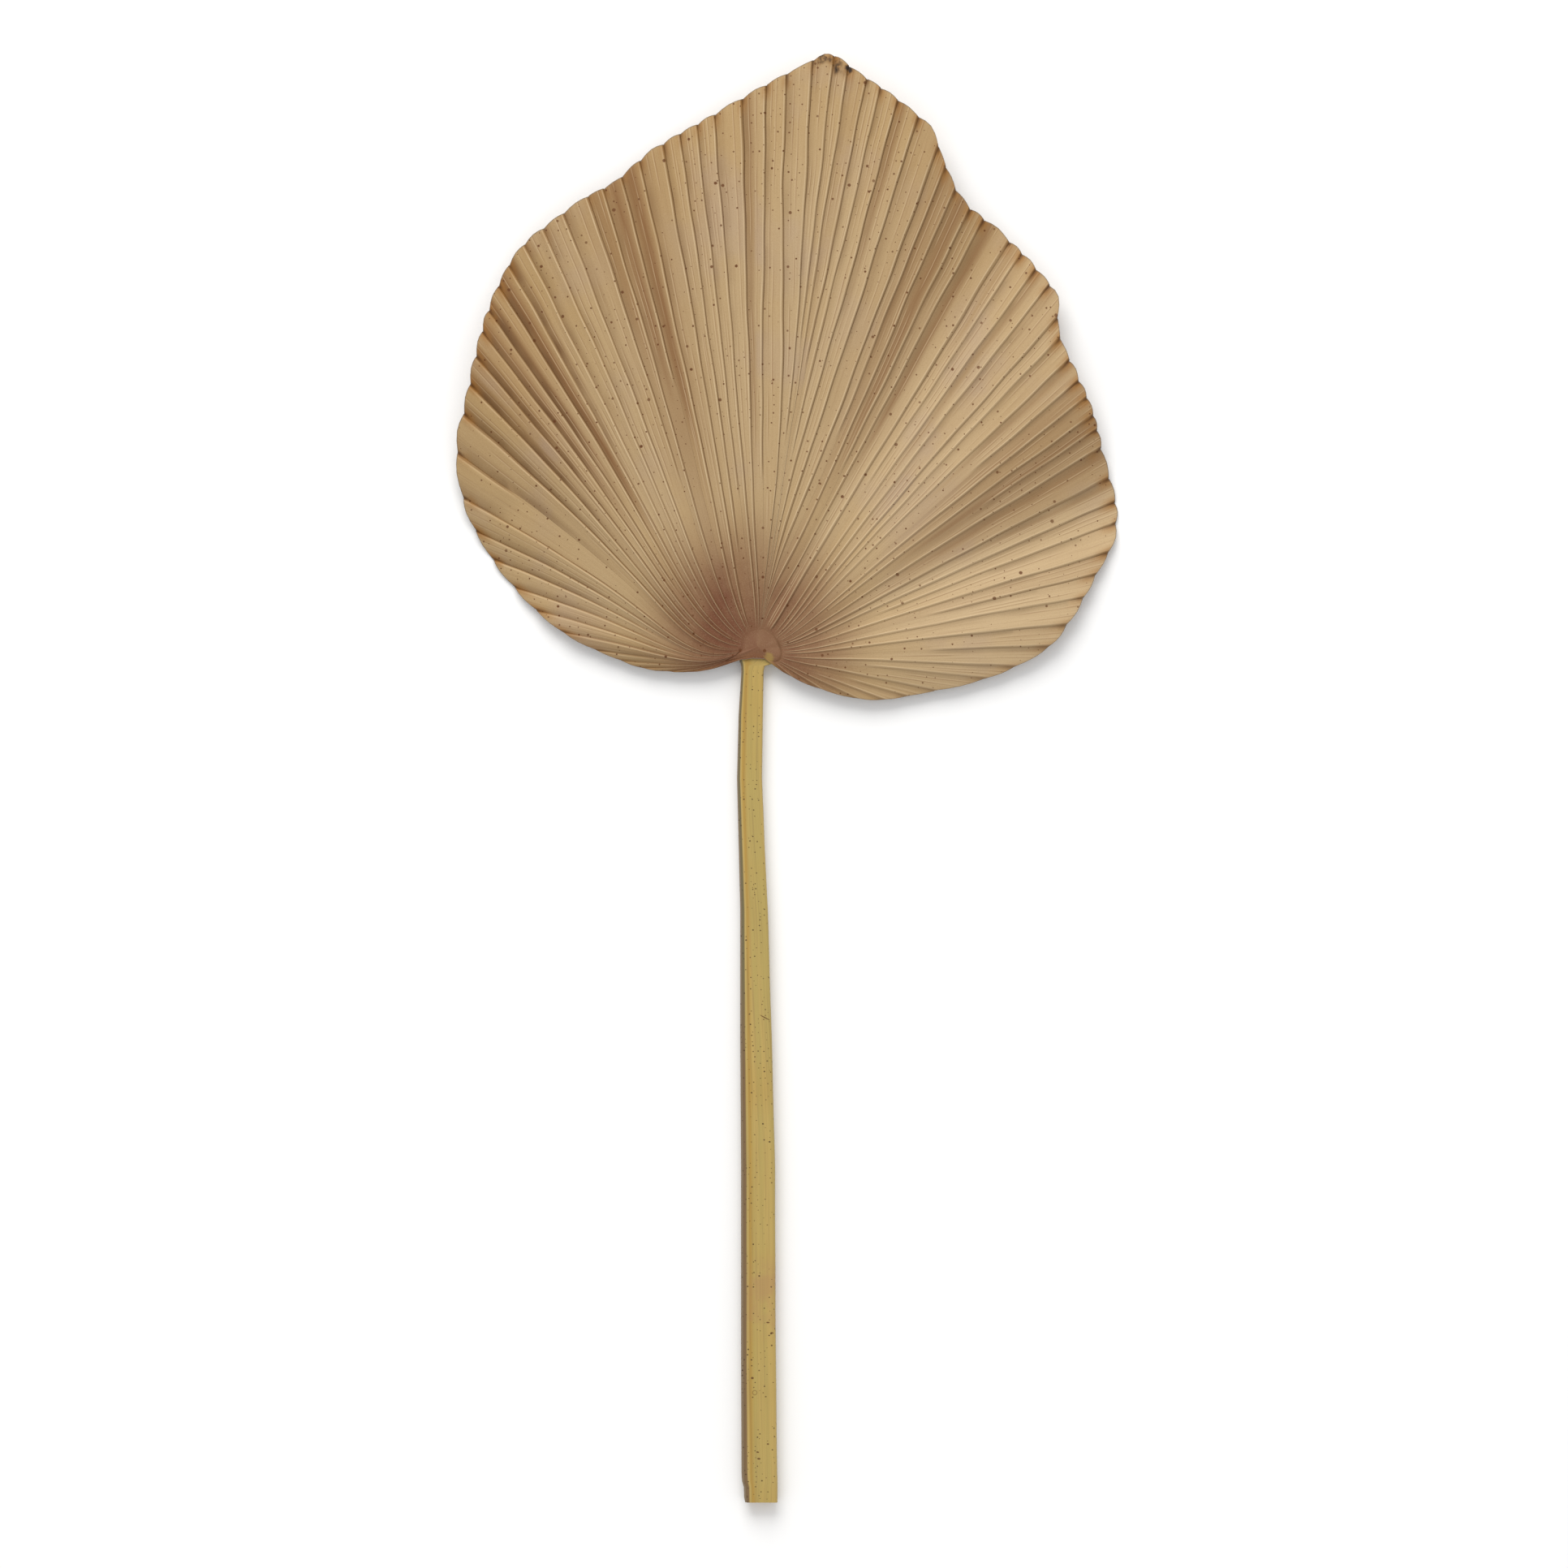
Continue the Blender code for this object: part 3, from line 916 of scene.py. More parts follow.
    def material(self) -> bpy.types.Material:
        """Build the blade's material on its pattern: pleats counted across, metres along.

        Returns:
            The material.
        """
        material, shader, graph = new_material("dry_pleated_blade")
        on = self.read(graph)
        colour = self.shaded_hollow_and_hub_colour(graph, self.panel_colour(graph, on), on)
        colour, crest, valley = self.pleat_colour(graph, colour, on)
        colour = self.boss_colour(graph, colour)
        colour = self.scorched_colour(graph, self.rim_colour(graph, colour, on), on)
        masks = [size.mask(graph, self.groups["specks"], on.place) for size in self.specks]
        spots = graph.greatest(*masks)
        colour = graph.mix(graph.times(spots, self.speck_share), colour, self.speck)
        graph.feed(shader.inputs["Base Color"], colour)
        shader.inputs["Specular IOR Level"].default_value = self.gloss
        rough = graph.ramp(on.streaks, self.fibre_roughness, self.roughness)
        graph.feed(shader.inputs["Roughness"], rough)
        height = graph.times(on.streaks, self.fibre_relief)
        height = graph.plus(height, graph.times(on.grain, self.grain_relief))
        height = graph.plus(height, graph.times(crest, self.ridge_relief))
        height = graph.minus(height, graph.times(valley, self.line_relief))
        height = graph.minus(height, graph.times(spots, self.speck_relief))
        graph.bump(shader, height, self.relief_strength, self.relief_depth)
        return material

    def panel_colour(self, graph: Graph, on: OnBlade) -> Socket:
        """Lay the ground: tan, gold near the rim, lilac-grey patches.

        Args:
            graph: The material's nodes.
            on: What the finish reads.

        Returns:
            The colour.
        """
        own_tone = graph.lot(on.pleat)
        drift = graph.combine(graph.times(on.pleat, 7.31), on.along)
        drift = graph.noise(drift, self.drift_scale, 2.0)
        near_rim = graph.rest(graph.fade(on.gap, *self.gold_reach))
        golden = graph.times(graph.fade(drift, 0.25, 0.75), self.gold_share)
        golden = graph.plus(golden, graph.times(near_rim, graph.named("golden")), clamp=True)
        outer = graph.times(graph.fade(on.along, *self.pale_start), graph.named("paled"))
        colour = graph.mix(graph.times(outer, self.pale_share), self.tan, self.pale)
        golden = graph.times(golden, graph.rest(graph.times(outer, 0.5)))
        colour = graph.mix(golden, colour, self.gold)
        patches = graph.times(
            graph.fade(graph.noise(on.place, self.patch_scale, 4.0), 0.48, 0.68),
            graph.plus(0.25, own_tone),
            graph.fade(on.along, *self.lilac_start),
            graph.fade(graph.named("browned_and_shaded"), 0.4, 0.1),
        )
        colour = graph.mix(graph.times(patches, self.lilac_share), colour, self.lilac)
        for mark, share, over in (
            (graph.fade(on.streaks, 0.55, 0.25), self.dark_streak_share, self.hollow),
            (graph.fade(on.streaks, 0.55, 0.75), self.light_streak_share, self.ridge),
            (graph.fade(own_tone, 0.6, 1.0), self.dark_pleat_share, self.hollow),
            (graph.fade(on.grain, 0.55, 0.75), self.grain_share, self.ridge),
            (graph.fade(on.grain, 0.45, 0.25), self.grain_share, self.hollow),
        ):
            colour = graph.mix(graph.times(mark, share), colour, over)
        return colour

    def shaded_hollow_and_hub_colour(self, graph: Graph, colour: Socket, on: OnBlade) -> Socket:
        """Darken the hollows with brown and painted shade, and brown the hub, both broken up by
        noise and fibres.

        Args:
            graph: The material's nodes.
            colour: The colour so far.
            on: What the finish reads.

        Returns:
            The colour.
        """
        uneven = graph.ramp(graph.noise(on.place, self.hub_scale, 4.0), 0.7, 0.65)
        fibrous = graph.ramp(on.streaks, 0.9, 0.55)
        # Painted shade, with some brown, in the hollows of the broad waves
        hollow = graph.times(graph.named("browned_and_shaded"), fibrous, self.hollow_share, clamp=True)
        colour = graph.mix(hollow, colour, self.hollow)
        hub = graph.times(graph.named("hub"), uneven, clamp=True)
        hub = graph.times(hub, graph.ramp(fibrous, 0.35, 0.65), self.hub_share, clamp=True)
        colour = graph.mix(hub, colour, self.hub)
        fuzz = graph.times(graph.fade(on.grain, 0.5, 0.72), graph.named("hub"), self.fuzz_share)
        return graph.mix(fuzz, colour, self.ridge)

    def pleat_colour(
        self, graph: Graph, colour: Socket, on: OnBlade
    ) -> tuple[Socket, Socket, Socket]:
        """Painted highlight on the ridge, painted shade on the drop, the fold line and a streak,
        fine veins.

        Args:
            graph: The material's nodes.
            colour: The colour under the ridges and lines.
            on: What the finish reads.

        Returns:
            The colour, and the strengths of the ridge and of the line along the fold.
        """
        crest_at = graph.rest(graph.math("DIVIDE", CREST_DROP / MM, on.width))
        crest_at = graph.math("MINIMUM", graph.greatest(crest_at, CREST_LEAST), CREST_MOST)
        past_crest = graph.times(graph.minus(on.phase, crest_at), on.width)
        to_fold = graph.times(graph.rest(on.phase), on.width)
        wander = graph.combine(graph.times(on.pleat, 3.17), on.along)
        uneven = graph.fade(graph.noise(wander, self.ridge_scale, 2.0), 0.25, 0.7)
        unit = graph.math("MINIMUM", graph.ramp(on.width, 0.06, 0.18), 0.62)
        from_crest = graph.math("DIVIDE", past_crest, unit)
        crest = graph.fade(graph.math("ABSOLUTE", from_crest), 1.15, 0.3)
        crest = graph.times(crest, graph.ramp(uneven, 0.6, 0.4), on.pleated)
        drop = graph.times(graph.fade(from_crest, 0.7, 1.8), on.pleated)
        valley = graph.fade(graph.math("DIVIDE", to_fold, unit), 1.2, 0.3)
        valley = graph.times(valley, on.pleated, graph.named("fold_shade"))
        # Painted shade: a brown streak on the rising side of each pleat, which faces away from the
        # light
        streak = graph.times(graph.fade(on.phase, 0.5, 0.06), graph.named("shade_streak"))
        streak = graph.times(streak, graph.plus(uneven, 0.45), self.shade_share, clamp=True)
        colour = graph.mix(streak, colour, self.shade)
        # Painted shade on the drop after the crest
        shaded = graph.times(drop, graph.ramp(graph.named("fold_shade"), 0.35, 0.15))
        colour = graph.mix(shaded, colour, self.shade)
        colour = self.vein_colour(graph, colour, on)
        # The light line along the crest is partly the pale rib and partly painted highlight, weaker
        # on round pleats and the hub
        crest = graph.times(crest, graph.rest(graph.times(graph.named("barrel"), 0.6)))
        lit = graph.minus(0.9, graph.times(graph.named("hub"), 0.48))
        colour = graph.mix(graph.times(crest, lit), colour, self.ridge)
        # Painted shade in the crease along each fold
        dark = graph.times(valley, graph.ramp(uneven, 0.55, 0.2))
        return graph.mix(dark, colour, self.line), crest, valley

    def vein_colour(self, graph: Graph, colour: Socket, on: OnBlade) -> Socket:
        """Draw two fine veins on each broad panel: a light line with a painted shadow beside it.

        Args:
            graph: The material's nodes.
            colour: The colour so far.
            on: What the finish reads.

        Returns:
            The colour.
        """
        veined = graph.rest(graph.times(graph.named("barrel"), 0.3))
        for stream, least, run in self.veins:
            at = graph.ramp(graph.lot(graph.plus(on.pleat, stream)), run, least)
            off = graph.times(graph.minus(on.phase, at), on.width)
            seen = graph.combine(graph.times(on.pleat, stream), on.along)
            seen = graph.fade(graph.noise(seen, self.vein_scale, 1.0), 0.4, 0.58)
            seen = graph.times(seen, on.pleated, graph.fade(on.width, 4.5, 9.0), veined)
            vein = graph.times(graph.fade(graph.math("ABSOLUTE", off), 0.5, 0.1), seen)
            # Painted shadow: the dark line on one side of each vein
            beside = graph.times(graph.fade(graph.away(off, 0.6), 0.6, 0.1), seen)
            colour = graph.mix(graph.times(vein, self.vein_share), colour, self.ridge)
            colour = graph.mix(graph.times(beside, self.vein_shadow_share), colour, self.hollow)
        return colour

    def boss_colour(self, graph: Graph, colour: Socket) -> Socket:
        """Tone the smooth boss, paint shade in the groove round it, and tone the stalk's head
        beside it.

        Args:
            graph: The material's nodes.
            colour: The colour so far.

        Returns:
            The colour.
        """
        colour = graph.mix(graph.times(graph.named("boss"), self.boss_share), colour, self.boss)
        # Painted shade in the groove round the boss
        groove = graph.times(graph.named("groove"), self.groove_shade_share)
        colour = graph.mix(groove, colour, self.line)
        return graph.mix(graph.named("head_patch"), colour, self.head)

    def rim_colour(self, graph: Graph, colour: Socket, on: OnBlade) -> Socket:
        """Lay amber along the rim, a brown mark at each notch, and grey on the cut edge.

        A notch's mark is gone notch_least from the rim, or up to notch_spread further in by
        its own lot.

        Args:
            graph: The material's nodes.
            colour: The colour so far.
            on: What the finish reads.

        Returns:
            The colour.
        """
        notched = graph.named("notched")
        from_notch = graph.times(graph.minus(0.5, graph.away(on.phase, 0.5)), on.width)
        amber = graph.times(
            graph.rest(graph.fade(on.gap, *self.amber_reach)),
            graph.fade(graph.noise(on.place, self.amber_scale), 0.26, 0.52),
            graph.fade(from_notch, *self.amber_width),
            notched,
        )
        colour = graph.mix(graph.times(amber, self.amber_share), colour, self.amber)
        own = graph.lot(graph.plus(on.pleat, 9.0))
        reach = graph.ramp(own, self.notch_spread, self.notch_least)
        near_rim = graph.rest(graph.fade(on.gap, 0.5, reach))
        notch = graph.fade(from_notch, *self.notch_width)
        notch = graph.times(notch, notched, near_rim, on.pleated)
        colour = graph.mix(graph.times(notch, self.notch_share), colour, self.line)
        edge = graph.rest(graph.fade(on.gap, *self.edge_reach))
        return graph.mix(graph.times(edge, self.edge_share), colour, self.rim_edge)

    def scorched_colour(self, graph: Graph, colour: Socket, on: OnBlade) -> Socket:
        """Scorch the tip: near-black blotches in amber.

        Args:
            graph: The material's nodes.
            colour: The colour so far.
            on: What the finish reads.

        Returns:
            The colour.
        """
        scorched = graph.named("scorched")
        colour = graph.mix(graph.times(graph.fade(scorched, 0.0, 0.6), 0.45), colour, self.amber)
        blotches = graph.fade(graph.noise(on.place, self.scorch_scale), 0.38, 0.62)
        blotches = graph.times(graph.fade(scorched, 0.1, 0.6), blotches)
        return graph.mix(blotches, colour, self.scorch)


@dataclass(frozen=True)
class StalkFinish:
    """Dry khaki stalk: golden beside its arris, olive in the middle, brown and grey flank darkened
    with painted shade.

    A share is how much of a colour lies over what is under it where its mark is full, and a
    scale is a noise's bumps to a metre. A width holds the distances from a mark's middle where
    it is gone and where it is full. The flank changes its colour between the two distances
    from the hub in flank_change, in metres.
    """

    groups: dict[str, bpy.types.NodeTree]
    khaki: Colour = (180, 154, 88)
    golden: Colour = (170, 133, 58)
    olive: Colour = (171, 150, 85)
    arris: Colour = (194, 168, 106)
    flank: Colour = (116, 92, 62)
    flank_above: Colour = (108, 98, 68)
    pink: Colour = (164, 124, 84)
    bruise: Colour = (84, 44, 14)
    ledge: Colour = (129, 112, 89)
    end_grain: Colour = (176, 146, 96)
    bundle: Colour = (96, 68, 36)
    speck: Colour = (58, 32, 4)
    specks: tuple[SpeckSize, ...] = (
        SpeckSize(230.0, 0.5, 0.08, 0.18),
        SpeckSize(95.0, 0.32, 0.045, 0.08),
    )
    bundles: SpeckSize = SpeckSize(900.0, 0.85, 0.18, 0.34)
    fibres_round: float = 620.0
    fibres_to_metre: float = 9.0
    band_scale_round: float = 150.0
    band_scale: float = 2.2
    golden_scale: float = 11.0
    pink_scale: float = 70.0
    golden_at: float = 8.35
    golden_width: tuple[float, float] = (0.85, 0.1)
    pink_at: float = -0.45
    pink_width: tuple[float, float] = (0.034, 0.012)
    arris_width: tuple[float, float] = (0.22, 0.04)
    flank_change: tuple[float, float] = (-0.3, -0.2)
    specks_end: float = -0.012
    golden_share: float = 0.75
    golden_band_share: float = 0.28
    streak_share: float = 0.34
    pink_share: float = 0.5
    arris_highlight_share: float = 0.22
    speck_share: float = 0.92
    mark_share: float = 0.85
    bundle_share: float = 0.7
    roughness: float = 0.38
    fibre_roughness: float = 0.25
    gloss: float = 0.32
    relief_strength: float = 0.6
    relief_depth: float = 0.4 * MM
    fibre_relief: float = 0.7
    grain_relief: float = 0.12
    speck_relief: float = 0.35
    bundle_relief: float = 0.5

    def material(self) -> bpy.types.Material:
        """Build the stalk's material on its pattern: metres round it and metres along it.

        Returns:
            The material.
        """
        material, shader, graph = new_material("dry_khaki_stalk")
        uv = graph.add("ShaderNodeUVMap", uv_map=PATTERN).outputs[0]
        place = graph.add("ShaderNodeTexCoord").outputs["Object"]
        around, along, _ = graph.split(uv)
        section = graph.named("section")
        cut = graph.named("cut")
        fibres = graph.group(
            self.groups["fibres"],
            Across=graph.times(around, self.fibres_round),
            Along=graph.times(along, self.fibres_to_metre),
            Place=place,
        ).outputs
        streaks, grain = fibres["Streaks"], fibres["Grain"]
        colour = self.face_colour(graph, place, around, along, section, streaks)
        colour = self.flank_colour(graph, colour, along, section)

        stretched = graph.scaled(uv, (1.0, 1.2, 1.0))
        masks = [size.mask(graph, self.groups["specks"], stretched) for size in self.specks]
        below_head = graph.fade(along, self.specks_end, self.specks_end - 0.01)
        spots = graph.times(graph.greatest(*masks), graph.rest(cut), below_head)
        colour = graph.mix(graph.times(spots, self.speck_share), colour, self.speck)
        colour = graph.mix(self.marks(graph, place), colour, self.bruise)

        x, _, z = graph.split(place)
        bundles = self.bundles.mask(graph, self.groups["specks"], graph.combine(x, z))
        grain_end = graph.mix(graph.times(bundles, self.bundle_share), self.end_grain, self.bundle)
        graph.feed(shader.inputs["Base Color"], graph.mix(cut, colour, grain_end))
        shader.inputs["Specular IOR Level"].default_value = self.gloss
        rough = graph.ramp(streaks, self.fibre_roughness, self.roughness)
        graph.feed(shader.inputs["Roughness"], rough)
        height = graph.times(streaks, self.fibre_relief)
        height = graph.plus(height, graph.times(grain, self.grain_relief))
        height = graph.minus(height, graph.times(spots, self.speck_relief))
        height = graph.minus(height, graph.times(bundles, cut, self.bundle_relief))
        graph.bump(shader, height, self.relief_strength, self.relief_depth)
        return material

    def face_colour(
        self,
        graph: Graph,
        place: Socket,
        around: Socket,
        along: Socket,
        section: Socket,
        streaks: Socket,
    ) -> Socket:
        """Lay khaki with olive bands, gold beside the arris and in places, and a pink patch.

        Args:
            graph: The material's nodes.
            place: The place on the stalk, in metres.
            around: Metres round the stalk.
            along: Metres from the hub, less than 0 below it.
            section: The place on the way round the cross-section.
            streaks: The fibres' streaks, 0 to 1.

        Returns:
            The colour.
        """
        across = graph.times(around, self.band_scale_round)
        bands = graph.noise(graph.combine(across, graph.times(along, self.band_scale)), 1.0, 2.0)
        colour = graph.mix(graph.fade(bands, 0.35, 0.65), self.khaki, self.olive)
        golden = graph.fade(graph.away(section, self.golden_at), *self.golden_width)
        colour = graph.mix(graph.times(golden, self.golden_share), colour, self.golden)
        lengthwise = graph.noise(graph.combine(0.0, graph.times(along, self.golden_scale)))
        golden = graph.times(graph.fade(lengthwise, 0.45, 0.7), self.golden_band_share)
        colour = graph.mix(golden, colour, self.golden)
        streak = graph.times(graph.fade(streaks, 0.55, 0.3), self.streak_share)
        colour = graph.mix(streak, colour, self.flank)
        patch = graph.fade(graph.away(along, self.pink_at), *self.pink_width)
        uneven = graph.fade(graph.noise(place, self.pink_scale), 0.3, 0.62)
        return graph.mix(graph.times(patch, uneven, self.pink_share), colour, self.pink)

    def flank_colour(
        self, graph: Graph, colour: Socket, along: Socket, section: Socket
    ) -> Socket:
        """Darken the flank past the arris in brown and painted shade, paint the ledge in grey
        shade, and paint a highlight on the arris.

        Args:
            graph: The material's nodes.
            colour: The colour so far.
            along: Metres from the hub, less than 0 below it.
            section: The place on the way round the cross-section.

        Returns:
            The colour.
        """
        # The flank past the arris: brown darkened with painted shade, greyer towards the head
        above = graph.fade(along, *self.flank_change)
        side = graph.mix(above, self.flank, self.flank_above)
        colour = graph.mix(graph.fade(section, ARRIS_AT + 0.1, ARRIS_AT + 0.5), colour, side)
        # Painted shade: the ledge in grey
        ledge = graph.fade(section, LEDGE_AT - 0.25, LEDGE_AT + 0.1)
        colour = graph.mix(ledge, colour, self.ledge)
        # Painted highlight along the arris
        edge = graph.fade(graph.away(section, ARRIS_AT), *self.arris_width)
        return graph.mix(graph.times(edge, self.arris_highlight_share), colour, self.arris)

    def marks(self, graph: Graph, place: Socket) -> Socket:
        """The cracks, the bruise and the ring on the face of the stalk.

        A mark is full where its own ellipse's measure, the sum of the squares of its two
        distances in half lengths and half widths, is under 0.45, and gone where it is over 1.1.

        Args:
            graph: The material's nodes.
            place: The place on the stalk, in metres.

        Returns:
            The strength of the marks, 0 to 1.
        """
        x, y, _ = graph.split(place)

        def apart(across: float, up: float) -> tuple[Socket, Socket]:
            """How far the place is from one on the stalk, both ways."""
            return graph.minus(x, HUB[0] + across * MM), graph.minus(y, HUB[1] + up * MM)

        def squared(a: Socket, unit: float) -> Socket:
            """The square of a distance in its own unit of mm."""
            length = graph.math("ABSOLUTE", graph.math("DIVIDE", a, unit * MM))
            return graph.math("POWER", length, 2.0)

        marks = []
        for across, up, length, width, turn in STALK_MARKS:
            dx, dy = apart(across, up)
            cos, sin = np.cos(np.radians(turn)), np.sin(np.radians(turn))
            run = graph.plus(graph.times(dx, cos), graph.times(dy, sin))
            off = graph.minus(graph.times(dy, cos), graph.times(dx, sin))
            measure = graph.plus(squared(run, length), squared(off, width))
            marks.append(graph.fade(measure, 1.1, 0.45))
        across, up, reach = RING_MARK
        dx, dy = apart(across, up)
        away = graph.math("SQRT", graph.plus(graph.times(dx, dx), graph.times(dy, dy)))
        ring = graph.times(graph.fade(graph.away(away, reach * MM), 0.45 * MM, 0.15 * MM), 0.5)
        return graph.times(graph.greatest(*marks, ring), self.mark_share)


@dataclass
class Blade:
    """The pleated blade with its boss: one thin closed sheet.

    Lengths are in metres. A start and a run are parts of the way from the hub to the rim.
    """

    groups: dict[str, bpy.types.NodeTree]
    hub_x: float = HUB[0]
    hub_y: float = HUB[1]
    thickness: float = 1.0 * MM
    rim_thinning: float = 0.24 * MM
    rim_round: float = 1.1 * MM
    hub_height: float = 11.4 * MM
    arch: float = 5.0 * MM
    droop_power: float = 1.5
    full_arch_at: float = 200 * MM
    flat_hub: float = 26 * MM
    pleat_ratio: float = 0.17
    pleat_limit: float = 3.0 * MM
    pleat_start: float = 5.0 * MM
    scallop_ratio: float = 0.16
    scallop_limit: float = 2.6 * MM
    scallop_mean: float = 0.6
    boss_rise: float = 0.9 * MM
    groove_depth: float = 0.5 * MM
    groove_width: float = 0.6 * MM
    fold_fade: float = 22 * MM
    fold_start: float = 9 * MM
    hub_pleats: float = 0.7
    hub_pleats_end: float = 110 * MM
    late_start_range: tuple[float, float] = (0.8, 2.2)
    depth_spread: float = 0.15
    lobe_spread: float = 0.3
    barrel_start: float = 0.2
    barrel_run: float = 0.7
    streak_start: float = 0.35
    streak_run: float = 0.4
    wander_start_run: float = 0.25
    wander_end_run: float = 0.125
    base_blend: float = 3.0
    flat_ridge_width: float = 0.16
    boss_clear: float = 0.96
    boss_tone_end: float = 1.2
    boss_tone_run: float = 0.55
    head_patch_edge: float = 1.15
    head_patch_run: float = 0.4
    columns_up: tuple[float, ...] = (0.0, 0.28, 0.56, 0.8, 0.92)
    columns_down: tuple[float, ...] = (0.0, 0.5, 0.93)
    base_columns: int = 12
    boss_rows: tuple[float, ...] = (0.0, 0.06, 0.14, 0.25, 0.38, 0.5, 0.62, 0.74, 0.85, 0.93, 1.0)
    blade_rows: int = 62
    row_crowding: float = 1.25
    rim_rows: tuple[float, ...] = (0.994, 0.998, 1.0)

    def columns(self) -> tuple[np.ndarray, np.ndarray, np.ndarray]:
        """Lay the columns out round the hub, with the same number to each pleat.

        Returns:
            For each column the number of its pleat, its step in the pleat (0 to 1 up to the
            crest, then 1 to 2 down to the next fold), and the rim angles of the folds beside it.
        """
        folds = np.array(FOLDS, dtype=float)
        steps = np.concatenate((self.columns_up, 1 + np.array(self.columns_down)))
        pleats = len(folds) - 1
        half = self.base_columns // 2
        before = np.linspace(-180, folds[0], half, endpoint=False)
        after = np.linspace(folds[-1], 180, half + 1)
        sides = np.stack((folds[:-1], folds[1:]), axis=-1).repeat(len(steps), axis=0)
        sides = np.concatenate((before[:, None].repeat(2, 1), sides, after[:, None].repeat(2, 1)))
        pleat = np.concatenate(
            (np.zeros(half, int), np.arange(pleats).repeat(len(steps)), np.full(half + 1, pleats))
        )
        step = np.concatenate((np.zeros(half), np.tile(steps, pleats), np.zeros(half + 1)))
        return pleat, step, sides

    def crest_phase(self, width: np.ndarray) -> np.ndarray:
        """Place of the crest across a pleat: one drop's width before the next fold."""
        return np.clip(1 - CREST_DROP / np.maximum(width, MM / 10), CREST_LEAST, CREST_MOST)

    def phase(self, step: np.ndarray, crest: np.ndarray) -> np.ndarray:
        """Turn a column's step into its place across the pleat, 0 to 1."""
        return np.where(step < 1, step * crest, crest + (step - 1) * (1 - crest))

    def fold_angle(self, rim_angle: np.ndarray, radius: np.ndarray) -> np.ndarray:
        """Follow a line that ends at rim_angle back to where it crosses a circle about the hub.

        The line leaves the hub at its own angle and swings over to the rim angle. The share of
        the swing left at a radius is 1 / (1 + (radius / reach) ^ sharpness), set to 0 at the rim.

        Args:
            rim_angle: Angles at the rim, in degrees.
            radius: Distances from the hub, in metres.

        Returns:
            The angles at those distances, in degrees.
        """
        at_hub = straight_line(BENDS, 1, rim_angle)
        reach = straight_line(BENDS, 2, rim_angle) * MM
        power = straight_line(BENDS, 3, rim_angle)
        edge = smooth_line(OUTLINE, 1, rim_angle) * MM
        pull = 1 / (1 + (radius / reach) ** power)
        pull_at_rim = 1 / (1 + (edge / reach) ** power)
        share = np.clip((pull - pull_at_rim) / (1 - pull_at_rim), 0.0, 1.0)
        inside = (rim_angle >= FOLDS[0]) & (rim_angle <= FOLDS[-1])
        return np.where(inside, rim_angle + (at_hub - rim_angle) * share, rim_angle)

    def wander(
        self, pleat: np.ndarray, phase: np.ndarray, radius: np.ndarray, out: np.ndarray
    ) -> np.ndarray:
        """Let each fold stray a little from its line, and back to it at the hub and the rim.

        A fold's stray is the sum of three sine waves with their own phases, and a column between
        two folds takes a part of each.

        Args:
            pleat: Each column's pleat.
            phase: Places across the pleat, columns by rows.
            radius: Distances from the hub, columns by rows.
            out: Places from hub, 0, to rim, 1, columns by rows.

        Returns:
            The stray in degrees, columns by rows.
        """
        start = Draw.WANDER.lots().uniform(0, 2 * np.pi, (len(FOLDS) + 1, len(WANDER)))
        stray = np.zeros_like(radius)
        for k, (length, size) in enumerate(WANDER):
            turn = 2 * np.pi * radius / (length * MM)
            near = np.sin(turn + start[pleat, k][:, None])
            far = np.sin(turn + start[pleat + 1, k][:, None])
            stray += size * (near * (1 - phase) + far * phase)
        grown = smooth_step(out / self.wander_start_run)
        return stray * grown * smooth_step((1 - out) / self.wander_end_run)

    def pleat_shape(self, step: np.ndarray, barrel: np.ndarray) -> np.ndarray:
        """Height of a pleat from 0 to 1.

        A round pleat rises as a quarter sine to its crest. A flat one is a panel that slopes up
        a little and ends in a thin ridge at the crest. Both drop to the next fold as a quarter
        cosine.

        Args:
            step: 0 to 1 up to the crest, then 1 to 2 down to the next fold.
            barrel: How round the pleat is, 0 to 1.

        Returns:
            The heights.
        """
        up = np.sin(np.pi / 2 * step)
        flat = 0.5 * step + 0.5 * hump((1 - step) / self.flat_ridge_width)
        down = np.clip(np.cos(np.pi / 2 * (step - 1)), 0, 1)
        return np.where(step < 1, flat * (1 - barrel) + up * barrel, down)

    def own_size(self, pleat: np.ndarray, spread: float, draw: Draw) -> np.ndarray:
        """Return a size about 1 for each column, steady over a pleat and drawn by lot."""
        return draw.lots().uniform(1 - spread, 1 + spread, len(FOLDS) + 1)[pleat]

    def presence(self, pleat: np.ndarray, radius: np.ndarray) -> np.ndarray:
        """How far the fold that ends each pleat has come up at each distance.

        A fold is half up at its own start, and rises over a run of fold_fade about it.

        Args:
            pleat: Each column's pleat.
            radius: Distances from the hub, columns by rows.

        Returns:
            How far it has come up, 0 to 1, columns by rows.
        """
        lots = Draw.STARTS.lots().uniform(*self.late_start_range, len(FOLDS) + 1)
        starts = self.fold_start * lots
        for angle, distance in LATE_FOLDS:
            starts[FOLDS.index(angle)] = distance * MM
        return smooth_step((radius - starts[pleat + 1][:, None]) / self.fold_fade + 0.5)

